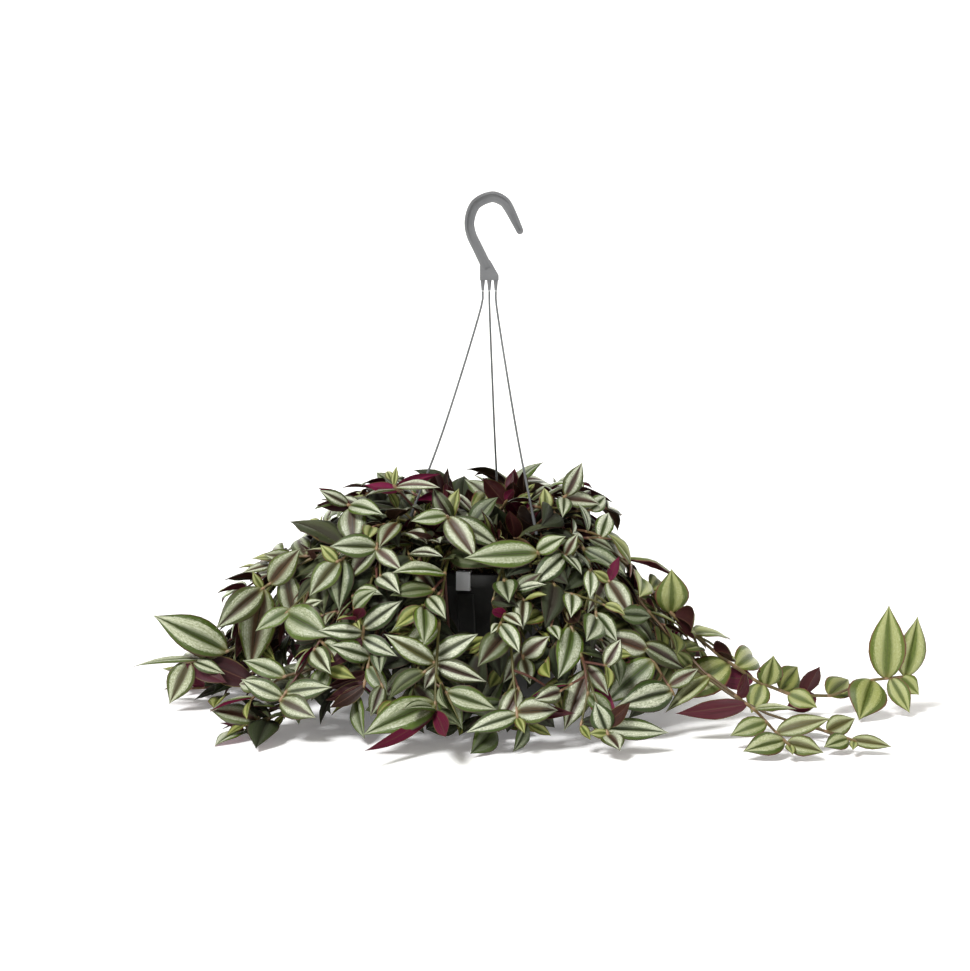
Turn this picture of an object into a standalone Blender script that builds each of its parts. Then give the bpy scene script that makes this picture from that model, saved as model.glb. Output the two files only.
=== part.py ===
"""A hanging pot of silver-striped tradescantia, standing on a level surface.

Metres, +Z up. The origin is the centre of the pot's flat underside. +X is the right of the
plant as seen from its front, and its front faces -Y.
"""

import itertools
import math
import random

import bmesh
import bpy
from mathutils import Matrix, Vector
from mathutils.bvhtree import BVHTree

MM = 0.001
UP = Vector((0, 0, 1))
GAP = 0.3 * MM  # between pieces that touch

# The pot: a tapered shell with a rolled rim
POT_HEIGHT = 118 * MM
RIM_RADIUS = 78 * MM
NECK_RADIUS = 73.5 * MM  # outside of the wall, just under the rim
FOOT_RADIUS = 54 * MM
WALL = 1.6 * MM
SKIRT_DROP = 11 * MM
POT_SIDES = 32
DRAIN_HOLES = 6
DRAIN_RADIUS = 4 * MM
DRAIN_RING = 36 * MM

# The soil and the holes that the stems stand in
SOIL_TOP = 102 * MM
ROOT_END = 84 * MM  # height of the lowest end of every stem
ROOT_HOLE_RADIUS = 3.1 * MM
ROOT_SPACING = 8.6 * MM

# The hanger: a moulded hook, three strands and the clips on the rim
HOOK_BASE = Vector((3.5 * MM, 0, 348 * MM))  # middle of the bar's underside
HOOK_THICKNESS = 5.2 * MM
HOOK_WEB = 2.0 * MM
HOOK_RIM_WIDTH = 2.1 * MM
HOOK_STEPS = 21
HOOK_LINE = (  # middle of the bent bar (x, z) and half of its width, in mm from HOOK_BASE
    (2, 3.5, 4.35), (-3.8, 14.5, 4.35), (-9.4, 26, 4.25), (-14.6, 37, 4.2), (-16, 48.5, 4.1),
    (-11, 61.2, 4.3), (1.6, 67.2, 4.5), (11.2, 64, 4.5), (15.8, 58.2, 4.2), (20.4, 49.2, 3.6),
    (24.8, 40, 2.9))
CONE_SPACING = 5.3 * MM
CONE_LENGTH = 8.5 * MM
CONE_TOP_RADIUS = 2.05 * MM
CONE_TIP_RADIUS = 1.1 * MM
STRAND_RADIUS = 0.9 * MM
TAIL_RADIUS = 1.35 * MM
STRAND_STEPS = 16
STRAND_AZIMUTHS = {"left": 189, "right": -52, "back": 80}
CLIP_WIDTH = 11.5 * MM
CLIP_HEIGHT = 14 * MM
CLIP_THICKNESS = 1.8 * MM
SPARE_CLIP_AZIMUTH = -102.5

# The plant
STEM_RADIUS = 1.9 * MM
STEM_TIP_RADIUS = 1.25 * MM
BLADE_THICKNESS = 1.1 * MM
BLADE_STATIONS = (0.15, 0.45, 0.78)
SMALL_BLADE_STATIONS = (0.26, 0.64)
SMALL_LEAF = 34 * MM
STEM_SIDES = 4
ATTEMPTS = 40
GRID = 16 * MM
CLEARANCE = 0.45 * MM  # that a blade or stem keeps from everything else
FLOOR_CLEARANCE = 0.8 * MM


# ------------------------------------------------------------------ the plan of the plant
# Every stem is a smooth path with leaves on alternate sides. The plan places all of them, one
# after another, and keeps each clear of the pot, the hanger, the floor and what stands already.

# Stems that fill the mound, by tiers. A profile is (distance from the axis, height) in mm in the
# stem's own upright plane. Past INNER the distances are stretched, by a tier's own factors to
# the right, back, left and front.
INNER = 40
TIERS = (
    # name, azimuths, profile, factors, leaf length, leaf spacing (mm), bare share
    ("crown", (20, 200, 300), ((7, 84), (9, 128), (22, 156), (38, 172)), (1, 1, 1, 1), 36, 16, 0.36),
    ("top", (30, 75, 120, 160, 318),
     ((19, 84), (24, 130), (42, 160), (70, 172), (98, 162), (120, 140), (136, 112)),
     (0.66, 0.9, 1.12, 0.86), 44, 21, 0.3),
    ("middle", (5, 40, 66, 94, 122, 150, 176, 352),
     ((37, 84), (46, 130), (68, 152), (102, 144), (132, 118), (154, 84), (172, 50), (190, 28)),
     (0.72, 0.85, 1.38, 0.82), 48, 25, 0.26),
    ("low", (20, 52, 80, 108, 136, 162, 186, 220),
     ((55, 84), (63, 125), (84, 134), (104, 116), (122, 78), (144, 38), (172, 15), (200, 11)),
     (1, 0.9, 1.4, 0.95), 48, 26, 0.28),
)

# Long stems that leave the mound or hang before it: (name, root azimuth, root radius,
# points, leaf length, spacing, bare share); lengths in mm
TRAILERS = (
    ("trailer_right_far", -14, 46, ((76, -18, 142), (112, -44, 124), (146, -66, 86), (194, -75, 46),
                                    (228, -70, 25), (262, -60, 15), (290, -58, 20), (316, -55, 31),
                                    (342, -50, 31)), 46, 24, 0.3),
    ("trailer_right_front", -34, 46, ((72, -46, 140), (104, -62, 116), (140, -84, 76), (170, -110, 46),
                                      (200, -142, 28), (212, -172, 18), (222, -206, 11)), 40, 22, 0.3),
    ("trailer_right_low", -24, 58, ((76, -36, 136), (106, -50, 114), (148, -78, 60), (196, -106, 24),
                                    (232, -132, 13), (258, -160, 11), (273, -192, 11)), 38, 28, 0.3),
    ("trailer_left", 184, 46, ((-82, -8, 142), (-120, -18, 133), (-152, -28, 102), (-184, -34, 62),
                               (-212, -38, 43), (-243, -45, 38)), 48, 27, 0.3),
    ("shoulder_left", 206, 58, ((-76, -36, 138), (-110, -46, 137), (-146, -52, 123),
                                (-180, -50, 101)), 46, 26, 0.3),
    ("spray_centre_left", 238, 57, ((-43, -66, 140), (-52, -84, 131), (-55, -104, 104), (-50, -126, 80),
                                    (-36, -152, 58)), 36, 22, 0.4),
    ("front_centre", 246, 61, ((-30, -70, 139), (-32, -86, 128), (-30, -95, 100), (-28, -99, 74),
                               (-24, -103, 52), (-14, -112, 32), (-2, -128, 14), (8, -146, 9)),
     38, 18, 0.6),
)

# Sprays: stems that end in leaves which spread from one point, (name, the point in mm)
SPRAYS = (
    ("spray_front_right", (91, -192, 14)), ("spray_front_middle", (24, -184, 25)),
    ("spray_front_left", (-37, -180, 28)), ("spray_left_low", (-156, -146, 30)),
    ("spray_low_left", (-92, -142, 40)),
    ("spray_side_right", (145, -131, 32)), ("spray_right_low", (78, -150, 52)),
    ("spray_centre_right", (29, -148, 63)),
    ("spray_left_middle", (-93, -136, 76)), ("spray_right_large", (85, -126, 88)),
    ("spray_left_green", (-157, -100, 88)), ("spray_right_middle", (97, -95, 114)),
    ("spray_left_pair", (-116, -96, 130)), ("spray_right_pair", (63, -102, 136)),
    ("spray_front_broad", (42, -110, 138)), ("spray_left_dark", (-84, -100, 140)),
    ("spray_front_top", (-30, -90, 166)), ("spray_left_high", (-112, -30, 168)),
    ("spray_top_right", (65, -52, 178)), ("spray_top_left", (-74, -39, 185)),
)

# Leaves that these stems hold in a way of their own: (share of the stem, from root to tip,
# the way it faces, length, width in mm, bend in degrees)
POSED_LEAVES = {
    "trailer_right_far": (
        (0.95, (1, 0, 58), (-0.1, -1, 0.1), 60, 30, 8),
        (0.99, (10, 0, 49), (0.2, -1, 0.1), 50, 26, 10),
        (0.98, (14, -3, -13), (0.1, -1, 0.3), 21, 17, 20),
        (0.96, (12, -12, -24), (0, -1, 0.35), 32, 18, 15),
        (0.92, (-20, -8, -31), (-0.2, -1, 0.3), 42, 33, 16),
        (0.8, (-24, -4, -10), (0.1, 1, -0.4), 28, 18, 14),
        (0.74, (22, -10, -9), (0.1, -1, 0.5), 26, 19, 18),
        (0.69, (4, -4, 22), (0.1, -1, 0.3), 26, 22, 16),
        (0.68, (-8, -8, -18), (-0.1, -1, 0.4), 26, 20, 18),
        (0.66, (-30, -4, 3), (0, 1, -0.3), 34, 19, 14),
        (0.6, (-42, -9, -26), (-0.2, -0.9, 0.5), 54, 33, 18),
        (0.45, (0, -3, 35), (0.2, -1, 0.2), 36, 28, 14)),
    "trailer_right_front": (
        (0.97, (-28, -9, -5), (0, -0.75, 0.65), 34, 21, 14),
        (0.98, (24, -8, -5), (0, -0.75, 0.65), 28, 18, 14),
        (0.99, (1, -12, -4), (0, -0.5, 0.85), 14, 8, 8),
        (0.88, (-25, -5, -8), (-0.1, -0.75, 0.65), 30, 18, 18),
        (0.93, (40, 2, 10), (0, -0.7, 0.7), 42, 18, 22),
        (0.8, (-56, -6, -6), (0, 0.9, -0.6), 56, 17, 10),
        (0.68, (-36, -14, -26), (-0.2, -0.8, 0.6), 46, 15, 14)),
    "trailer_right_low": (
        (0.98, (29, -5, -4), (0, -0.75, 0.65), 30, 12, 12),
        (0.97, (-18, -8, -4), (0, -0.75, 0.65), 22, 16, 14),
        (0.99, (-3, -12, -4), (0, -0.5, 0.85), 13, 7, 8),
        (0.9, (20, 2, 9), (0, -0.8, 0.6), 24, 18, 16)),
    "trailer_left": (
        (0.98, (-16, -4, -33), (-0.1, -1, 0.2), 38, 23, 12),
        (0.97, (28, -6, -10), (0.1, -0.8, 0.5), 29, 13, 20),
        (0.94, (-60, -2, -11), (0, -0.35, 1), 60, 16, 10),
        (0.93, (-46, 4, 12), (0.1, -1, 0.35), 50, 28, 20),
        (0.95, (54, -6, -22), (0, 1, -0.3), 56, 22, 16),
        (0.87, (-60, -4, 31), (0.1, -0.9, 0.5), 67, 31, 16)),
    "shoulder_left": (
        (0.985, (-11, -6, -67), (0.1, -1, 0.1), 68, 31, 10),
        (0.99, (-34, -10, -38), (-0.1, -1, 0.3), 52, 25, 14),
        (0.95, (24, -6, 28), (-0.1, -1, 0.3), 40, 23, 14),
        (0.86, (12, -4, -44), (-0.1, -1, 0.2), 46, 22, 14),
        (0.99, (-8, -3, 16), (-0.3, -1, 0.2), 17, 9, 12)),
    "spray_top_left": (
        (0.95, (-24, 2, -5), (-0.2, -0.3, 1), 28, 12, 30),
        (0.97, (34, -10, 1), (-0.1, -0.4, 1), 38, 14, 26),
        (0.99, (2, 2, 14), (-0.3, -1, 0.1), 16, 6, 10)),
    "spray_top_right": (
        (0.99, (12, 3, 24), (0.2, -1, 0.1), 30, 16, 14),
        (0.95, (28, 4, -4), (0.4, -0.8, 0.7), 32, 17, 30),
        (0.97, (-2, -24, -12), (0.2, -0.9, 0.8), 30, 14, 34)),
    "spray_left_high": (
        (0.96, (2, -22, -28), (-0.4, -1, 0.5), 38, 26, 16),
        (0.98, (26, -22, -4), (-0.2, -0.9, 0.8), 38, 18, 26),
        (0.99, (-22, -4, 12), (-0.5, -0.8, 0.5), 27, 12, 34)),
    "spray_front_top": (
        (0.97, (22, -22, -30), (0, -1, 0.5), 44, 22, 22),
        (0.99, (-27, -6, -3), (-0.2, -1, 0.6), 29, 14, 20),
        (0.93, (40, -18, -16), (0.1, -1, 0.8), 48, 22, 34)),
    "spray_front_broad": (
        (0.97, (-58, -8, -3), (0, -1, 0.5), 58, 24, 16),
        (0.95, (22, 0, 12), (0.4, -1, 0.7), 26, 16, 24)),
    "spray_left_dark": (
        (0.98, (-35, 4, -4), (-0.4, -1, 0.5), 37, 21, 26),
        (0.96, (-18, -14, -26), (-0.3, -1, 0.4), 36, 20, 24),
        (0.99, (18, -14, -16), (-0.2, -1, 0.5), 30, 14, 24)),
    "spray_left_pair": (
        (0.98, (-22, -12, -26), (-0.4, -1, 0.3), 36, 23, 16),
        (0.95, (-2, -18, -38), (-0.3, -1, 0.3), 43, 23, 18),
        (0.99, (-12, 2, 12), (-0.5, -1, 0.6), 19, 11, 24)),
    "spray_right_pair": (
        (0.98, (-27, -18, -22), (0.1, -1, 0.4), 40, 19, 20),
        (0.96, (-4, -14, -22), (0.4, -1, 0.4), 30, 20, 22),
        (0.99, (17, -4, 6), (0.6, -1, 0.5), 20, 11, 20)),
    "spray_right_middle": (
        (0.98, (17, -12, -28), (0.5, -1, 0.3), 36, 21, 18),
        (0.96, (-14, -18, -22), (0.3, -1, 0.4), 34, 17, 24),
        (0.99, (-13, -4, 8), (0.3, -1, 0.5), 17, 10, 16)),
    "spray_left_green": (
        (0.98, (36, -24, -15), (-0.3, -1, 0.3), 46, 30, 18),
        (0.96, (-24, -8, -20), (-0.5, -1, 0.4), 32, 18, 20)),
    "spray_right_large": (
        (0.98, (-36, -22, -30), (0.1, -1, 0.4), 50, 27, 14),
        (0.96, (16, -8, -20), (0.4, -1, 0.3), 28, 16, 20)),
    "spray_left_middle": (
        (0.97, (-35, 2, 2), (-0.3, -1, 0.3), 35, 15, 16),
        (0.99, (27, -12, -12), (-0.1, -1, 0.3), 32, 15, 16),
        (0.95, (30, -4, 22), (-0.1, -1, 0.3), 38, 18, 20)),
    "spray_centre_right": (
        (0.98, (20, -4, 16), (0.2, -1, 0.3), 26, 18, 16),
        (0.99, (5, -12, -17), (0.1, -1, 0.4), 22, 14, 16),
        (0.96, (-16, -12, -18), (0, -1, 0.4), 28, 15, 20)),
    "spray_centre_left": (
        (0.97, (-37, -2, 22), (-0.1, -1, 0.3), 44, 18, 16),
        (0.98, (38, -10, -11), (0, -1, 0.4), 42, 17, 16),
        (0.95, (35, -6, 18), (0, -1, 0.3), 40, 18, 20),
        (0.99, (-9, -12, -16), (-0.1, -1, 0.3), 22, 11, 16)),
    "spray_right_low": (
        (0.98, (-18, -26, -40), (0.2, -1, 0.5), 52, 23, 16),
        (0.96, (17, -14, -22), (0.3, -1, 0.3), 30, 15, 22)),
    "spray_front_left": (
        (0.96, (-54, -20, -20), (-0.2, -1, 0.7), 60, 30, 20),
        (0.98, (-28, -26, -12), (-0.1, -0.9, 0.8), 38, 15, 34),
        (0.985, (-36, -58, -27), (-0.2, 0.8, -0.9), 74, 15, 8),
        (0.99, (18, -14, -6), (0, -1, 0.6), 24, 13, 20)),
    "spray_front_middle": (
        (0.97, (31, -2, 2), (0.1, -1, 0.5), 31, 22, 16),
        (0.98, (-38, -14, -10), (0, -1, 0.6), 42, 17, 20),
        (0.96, (44, -8, -3), (0, 0.9, -0.6), 44, 12, 10),
        (0.99, (5, -15, -8), (0.1, -1, 0.4), 18, 8, 16)),
    "spray_front_right": (
        (0.97, (46, 4, -4), (0.2, -0.9, 0.6), 48, 18, 16),
        (0.99, (7, -20, -6), (0.1, -0.9, 0.7), 24, 18, 18),
        (0.98, (-8, 2, 20), (0, -1, 0.3), 24, 19, 14),
        (0.96, (14, -4, 22), (0, 0.9, -0.5), 28, 14, 14),
        (0.985, (-15, -5, 1), (0, -1, 0.3), 15, 9, 14)),
    "spray_low_left": (
        (0.98, (-30, -10, -12), (0, 0.9, -0.5), 34, 12, 40),
        (0.95, (-32, -6, -8), (0, 0.9, -0.4), 36, 12, 36),
        (0.9, (-28, -14, 12), (-0.2, -1, 0.5), 36, 18, 20),
        (0.93, (16, -16, -20), (0.1, -1, 0.4), 30, 15, 22)),
    "spray_side_right": (
        (0.98, (-44, -28, -6), (0.1, -1, 0.6), 54, 26, 20),
        (0.96, (20, 6, 10), (0.4, -1, 0.5), 28, 14, 24),
        (0.86, (-36, -12, -30), (-0.1, -1, 0.3), 52, 26, 18),
        (0.82, (-34, -8, 12), (-0.1, -1, 0.4), 40, 22, 16),
        (0.8, (26, -10, -28), (0.2, -1, 0.3), 40, 22, 16)),
    "spray_left_low": (
        (0.99, (28, -16, -10), (-0.2, -1, 0.5), 34, 20, 16),
        (0.96, (36, -10, 6), (-0.2, -1, 0.5), 38, 18, 20),
        (0.98, (-31, 8, 12), (-0.4, -1, 0.4), 36, 17, 24)),
}


def polar(azimuth, radius, height):
    angle = math.radians(azimuth)
    return Vector((radius * math.cos(angle), radius * math.sin(angle), height))


def stretch(azimuth, factors):
    """A tier's stretch at an azimuth, between its factors to the right, back, left and front."""
    right, back, left, front = factors
    across, along_y = math.cos(math.radians(azimuth)), math.sin(math.radians(azimuth))
    return (right if across > 0 else left) * across**2 + (back if along_y > 0 else front) * along_y**2


def smooth_path(points, count):
    """`count` points, evenly spaced, on a smooth curve through `points`."""
    ends = [2 * points[0] - points[1], *points, 2 * points[-1] - points[-2]]
    fine = []
    steps = 12
    for a, b, c, d in zip(ends, ends[1:], ends[2:], ends[3:]):
        for step in range(steps):
            t = step / steps
            fine.append(0.5 * (2 * b + (c - a) * t + (2 * a - 5 * b + 4 * c - d) * t**2
                               + (3 * b - a - 3 * c + d) * t**3))
    fine.append(points[-1].copy())
    lengths = [0.0]
    for a, b in zip(fine, fine[1:]):
        lengths.append(lengths[-1] + (b - a).length)
    path, i = [], 0
    for k in range(count):
        goal = lengths[-1] * k / (count - 1)
        while i < len(fine) - 2 and lengths[i + 1] < goal:
            i += 1
        share = (goal - lengths[i]) / max(lengths[i + 1] - lengths[i], 1e-9)
        path.append(fine[i].lerp(fine[i + 1], min(1.0, share)))
    return path


def path_length(path):
    return sum((b - a).length for a, b in zip(path, path[1:]))


def along(path, share):
    """(point, tangent) at a share of an evenly spaced path's length."""
    x = max(0.0, min(1.0, share)) * (len(path) - 1)
    i = min(int(x), len(path) - 2)
    tangent = path[min(i + 2, len(path) - 1)] - path[max(i - 1, 0)]
    return path[i].lerp(path[i + 1], x - i), tangent.normalized()


def tube(path, radii, sides):
    """(points, faces) of a closed tube along a path."""
    points, faces = [], []
    for i, centre in enumerate(path):
        _, tangent = along(path, i / (len(path) - 1))
        side = tangent.cross(UP if abs(tangent.z) < 0.9 else Vector((1, 0, 0))).normalized()
        up = side.cross(tangent)
        for k in range(sides):
            angle = 2 * math.pi * k / sides
            points.append(centre + radii[i] * (math.cos(angle) * side + math.sin(angle) * up))
    for i in range(len(path) - 1):
        for k in range(sides):
            a, b = i * sides + k, i * sides + (k + 1) % sides
            faces.append((a, b, b + sides, a + sides))
    faces.append(tuple(reversed(range(sides))))
    faces.append(tuple(range((len(path) - 1) * sides, len(path) * sides)))
    return points, faces


def turned(profile, sides):
    """(points, faces) of the open surface that a profile of (radius, height) sweeps round +Z."""
    points = [polar(360 * k / sides, r, z) for r, z in profile for k in range(sides)]
    faces = []
    for i in range(len(profile) - 1):
        for k in range(sides):
            a, b = i * sides + k, i * sides + (k + 1) % sides
            faces.append((a, b, b + sides, a + sides))
    return points, faces


class Crowd:
    """What stands already, as trees of faces that a new shape is tested against.

    The members are filed by the cells of a coarse grid that their boxes reach into.
    """

    def __init__(self):
        self.cells = {}

    @staticmethod
    def reached(points):
        low = [math.floor(min(p[i] for p in points) / GRID) for i in range(3)]
        high = [math.floor(max(p[i] for p in points) / GRID) for i in range(3)]
        return itertools.product(*(range(a, b + 1) for a, b in zip(low, high)))

    def add(self, shape, owner):
        member = (BVHTree.FromPolygons(*shape), owner)
        for cell in self.reached(shape[0]):
            self.cells.setdefault(cell, []).append(member)

    def hits(self, shape, ignored=()):
        """True where the shape crosses a member whose owner isn't ignored."""
        tree, tried = BVHTree.FromPolygons(*shape), set()
        for cell in self.reached(shape[0]):
            for other, owner in self.cells.get(cell, ()):
                if owner not in ignored and id(other) not in tried:
                    tried.add(id(other))
                    if tree.overlap(other):
                        return True
        return False


class Leaf:
    """A blade on its own axes: it starts at `root`, in the stem, and runs along `ahead`."""

    def __init__(self, root, ahead, normal, length, width, bend, fold, tone, young=False):
        self.root, self.ahead, self.normal = root, ahead, normal
        self.length, self.width = length, width
        self.bend, self.fold, self.tone, self.young = bend, fold, tone, young

    @staticmethod
    def outline(t):
        """Half of the width at a share of the length, as a share of the full half width."""
        return math.sin(math.pi * t**0.77) ** (0.74 + 0.5 * t) if 0 < t < 1 else 0.0

    def frame(self, t):
        """(point on the midrib, side, normal) at a share of the length."""
        across = self.normal.cross(self.ahead)
        turn = self.bend * t
        if abs(self.bend) > 1e-3:
            run = self.length * math.sin(turn) / self.bend
            drop = self.length * (1 - math.cos(turn)) / self.bend
        else:
            run, drop = self.length * t, 0.0
        point = self.root + run * self.ahead - drop * self.normal
        normal = math.cos(turn) * self.normal + math.sin(turn) * self.ahead
        return point, across, normal

    def point(self, t, v):
        """A point of the middle surface: v runs from -1 at one edge to 1 at the other."""
        rib, across, normal = self.frame(t)
        half = 0.5 * self.width * self.outline(t)
        return rib + v * half * across + abs(v) ** 1.3 * half * self.fold * normal

    def blade(self, extra=0.0):
        """(points, faces) of a closed blade: two or three keeled sections, pointed ends.

        `extra` is what it grows on all sides; a grown blade starts at the side of the stem.
        """
        points = [self.frame(0.04)[0] if extra else self.root - 1.0 * MM * self.ahead]
        faces = []
        stations = BLADE_STATIONS if self.length > SMALL_LEAF else SMALL_BLADE_STATIONS
        for t in stations:
            _, across, normal = self.frame(t)
            lift = (0.35 * BLADE_THICKNESS + extra) * normal
            wide = 2.2 * extra * across
            points += [self.point(t, -1) + lift - wide, self.point(t, 1) + lift + wide,
                       self.point(t, 0) - (0.65 * BLADE_THICKNESS + 1.4 * extra) * normal]
        points.append(self.frame(1.0 + 2 * extra / self.length)[0])
        last = len(points) - 1
        for k in range(3):
            after = (k + 1) % 3
            faces.append((0, 1 + after, 1 + k))
            for row in range(len(stations) - 1):
                a, b = 1 + 3 * row + k, 1 + 3 * row + after
                faces.append((a, b, b + 3, a + 3))
            faces.append((last - 3 + k, last - 3 + after, last))
        return points, faces


class Stem:
    def __init__(self, name, path, leaf_length, spacing, bare):
        self.name, self.path, self.leaf_length = name, path, leaf_length
        self.spacing, self.bare = spacing, bare
        self.leaves = []

    def radius(self, share):
        return STEM_RADIUS + (STEM_TIP_RADIUS - STEM_RADIUS) * share

    def shape(self, sides, extra=0.0, start=0.0):
        last = len(self.path) - 1
        shares = [start] + [i / last for i in range(last + 1) if i / last > start + 0.02]
        return tube([along(self.path, share)[0] for share in shares],
                    [self.radius(share) + extra for share in shares], sides)


PATH_POINTS = 9
VEIL_STEPS = 7
VEIL_SPACING = 8 * MM


def fixed_obstacles():
    """The pot, the soil and the hanger, a little larger than life."""
    crowd = Crowd()
    reserve = 1.2 * MM
    crowd.add(turned(((0.1 * MM, SOIL_TOP + reserve), (68 * MM, SOIL_TOP + reserve),
                      (69 * MM, POT_HEIGHT + reserve), (RIM_RADIUS + reserve, POT_HEIGHT + reserve),
                      (RIM_RADIUS + reserve, POT_HEIGHT - SKIRT_DROP - reserve),
                      (NECK_RADIUS + reserve, POT_HEIGHT - SKIRT_DROP - reserve),
                      (FOOT_RADIUS + reserve, 0.0)), 28), "pot")
    for name in STRAND_AZIMUTHS:
        path = strand_path(name)
        crowd.add(tube(path, [TAIL_RADIUS + reserve] * len(path), 6), "strand")
    for azimuth in (*STRAND_AZIMUTHS.values(), SPARE_CLIP_AZIMUTH):
        low = polar(azimuth, RIM_RADIUS - 6 * MM, POT_HEIGHT - CLIP_HEIGHT)
        high = polar(azimuth, RIM_RADIUS + 1 * MM, POT_HEIGHT + 3 * MM)
        crowd.add(tube([low, high], [CLIP_WIDTH * 0.62] * 2, 6), "clip")
    return crowd


def hides_the_wall(points):
    """True where a point hangs before the gap at the front through which the pot's wall shows."""
    for p in points:
        lift = 0.155 * (p.y + RIM_RADIUS)
        if (p.y < 0 and math.hypot(p.x, p.y) > RIM_RADIUS and -28 * MM < p.x < 3 * MM
                and 76 * MM < p.z + lift < 121 * MM):
            return True
    return False


def rooted(path):
    """The path with its second point just above the soil, so that it leaves its hole straight."""
    share = next(k / 100 for k in range(100) if along(path, k / 100)[0].z > SOIL_TOP + 5 * MM)
    if path[1].z < SOIL_TOP + 5 * MM:
        path[1] = along(path, share)[0]
    return path


class Bed:
    """The spots in the soil that are taken by roots."""

    def __init__(self):
        self.taken = []

    def spot(self, azimuth, radius):
        """The free spot nearest to the one asked for, as (azimuth, radius)."""
        tries = sorted(((abs(step) * radius / 60 + abs(shift)), step, shift)
                       for step in range(-60, 61, 3) for shift in (0, -4, 4, -8, 8, -14, 14))
        for _, step, shift in tries:
            if not 5 * MM <= radius + shift * MM <= 62 * MM:
                continue
            point = polar(azimuth + step, radius + shift * MM, 0)
            if all((point - other).length > ROOT_SPACING for other in self.taken):
                self.taken.append(point)
                return azimuth + step, radius + shift * MM
        raise ValueError("the soil is full")


def tier_stem(tier, number, bed):
    """The stem of a tier with that number, and the routes it may take."""
    name, azimuths, profile, factors, leaf_length, spacing, bare = tier
    rng = random.Random(f"{name}{number}")
    azimuth = azimuths[number]
    root = bed.spot(azimuth, profile[0][0] * MM)
    reach = stretch(azimuth, factors) * rng.uniform(0.92, 1.08)
    routes = []
    for attempt in range(ATTEMPTS):
        swing = rng.uniform(-9, 9)
        lift = rng.uniform(-5, 7)
        aside = rng.uniform(-1, 1) * attempt
        points = [polar(root[0], root[1], ROOT_END)]
        for i, (radius, height) in enumerate(profile[1:], 1):
            if radius > INNER:
                radius = INNER + (radius - INNER) * (reach if profile[0][0] < INNER or i > 2 else 1)
            share = max(0, i - 1) / (len(profile) - 2)
            ease = share * (1 - share) * 4 if profile[-1][1] < 30 else share
            if i > 1:
                height += lift * ease
            points.append(polar(azimuth + aside * min(1, i / 2) + swing * share**1.5,
                                radius * MM, height * MM))
        points[1] = polar(root[0], root[1] + 4 * MM, points[1].z)
        routes.append(smooth_path(points, PATH_POINTS))
    return Stem(f"{name}_stem_{number + 1:02d}", routes[0], leaf_length, spacing, bare), routes


def trailer_stem(trailer, bed):
    name, azimuth, radius, points, leaf_length, spacing, bare = trailer
    rng = random.Random(name)
    azimuth, radius = bed.spot(azimuth, radius * MM)
    root = polar(azimuth, radius, ROOT_END)
    rise = polar(azimuth, radius + 4 * MM, 126 * MM)
    routes = []
    for attempt in range(ATTEMPTS):
        shift = Vector([rng.uniform(-1, 1) for _ in range(3)]) * min(attempt, 6) * 0.8 * MM
        shift.z = abs(shift.z)
        routes.append(smooth_path([root, rise] + [Vector(p) * MM + shift for p in points],
                                  PATH_POINTS + 4))
    return Stem(name, routes[0], leaf_length, spacing, bare), routes


def spray_stem(spray, bed):
    """A stem that ends at a given point: a high point is reached from within, a low one over the rim."""
    name, end = spray
    rng = random.Random(name)
    end = Vector(end) * MM
    reach = math.hypot(end.x, end.y)
    azimuth = math.degrees(math.atan2(end.y, end.x))
    root = bed.spot(azimuth, (24 if end.z > 150 * MM else 40 if end.z > 100 * MM else 57) * MM)
    crest = max(RIM_RADIUS + 2 * MM, 0.62 * reach) if reach < 125 * MM else RIM_RADIUS + 3 * MM
    routes = []
    for attempt in range(ATTEMPTS):
        loose = min(attempt, 20)
        turn = rng.uniform(-1, 1) * loose
        lift = rng.uniform(-0.4, 1) * loose * 0.6 * MM
        points = [polar(*root, ROOT_END), polar(root[0], root[1] + 4 * MM, 126 * MM)]
        if end.z > 150 * MM:
            points.append(polar(azimuth + turn, 0.5 * (root[1] + reach), 0.45 * (end.z + 140 * MM)
                                + 8 * MM + lift))
        else:
            points.append(polar(azimuth + turn, 0.5 * (root[1] + crest), 139 * MM + lift))
            points.append(polar(azimuth + turn, crest, max(143 * MM, end.z + 8 * MM) + lift))
            if reach >= 125 * MM:
                for out, down in ((0.42, 0.7), (0.8, 0.24)):
                    points.append(polar(azimuth + turn * (1 - out), crest + out * (reach - crest),
                                        end.z + down * (144 * MM - end.z) + lift))
        routes.append(smooth_path(points + [end], PATH_POINTS))
    return Stem(name, routes[0], 40, 22, 0.4), routes


def place_stem(stem, routes, crowd):
    """Takes the first route on which the stem is clear of everything, and says whether there is one."""
    for path in routes:
        stem.path = rooted(path)
        above = next(k / 100 for k in range(100) if along(path, k / 100)[0].z > SOIL_TOP + 4 * MM)
        shape = stem.shape(6, 2.5 * CLEARANCE, above)
        if min(p.z for p in shape[0]) < FLOOR_CLEARANCE:
            continue
        if not crowd.hits(shape) and (stem.bare > 0.5 or not hides_the_wall(shape[0])):
            crowd.add(shape, stem.name + " body")
            return True
    return False


def leaf_axes(stem, share, side, yaw, pitch, roll):
    """(root, ahead, normal) of a leaf on a stem: yaw from the stem's line, pitch off its back."""
    root, tangent = along(stem.path, share)
    outward = Vector((root.x, root.y, 0)).normalized()
    back = UP + 0.85 * outward
    back = (back - back.dot(tangent) * tangent).normalized()
    beside = tangent.cross(back) * side
    flat = math.cos(yaw) * tangent + math.sin(yaw) * beside
    ahead = math.cos(pitch) * flat + math.sin(pitch) * back
    normal = math.cos(pitch) * back - math.sin(pitch) * flat
    normal = Matrix.Rotation(roll, 3, ahead) @ normal
    return root, ahead.normalized(), normal.normalized()


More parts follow.
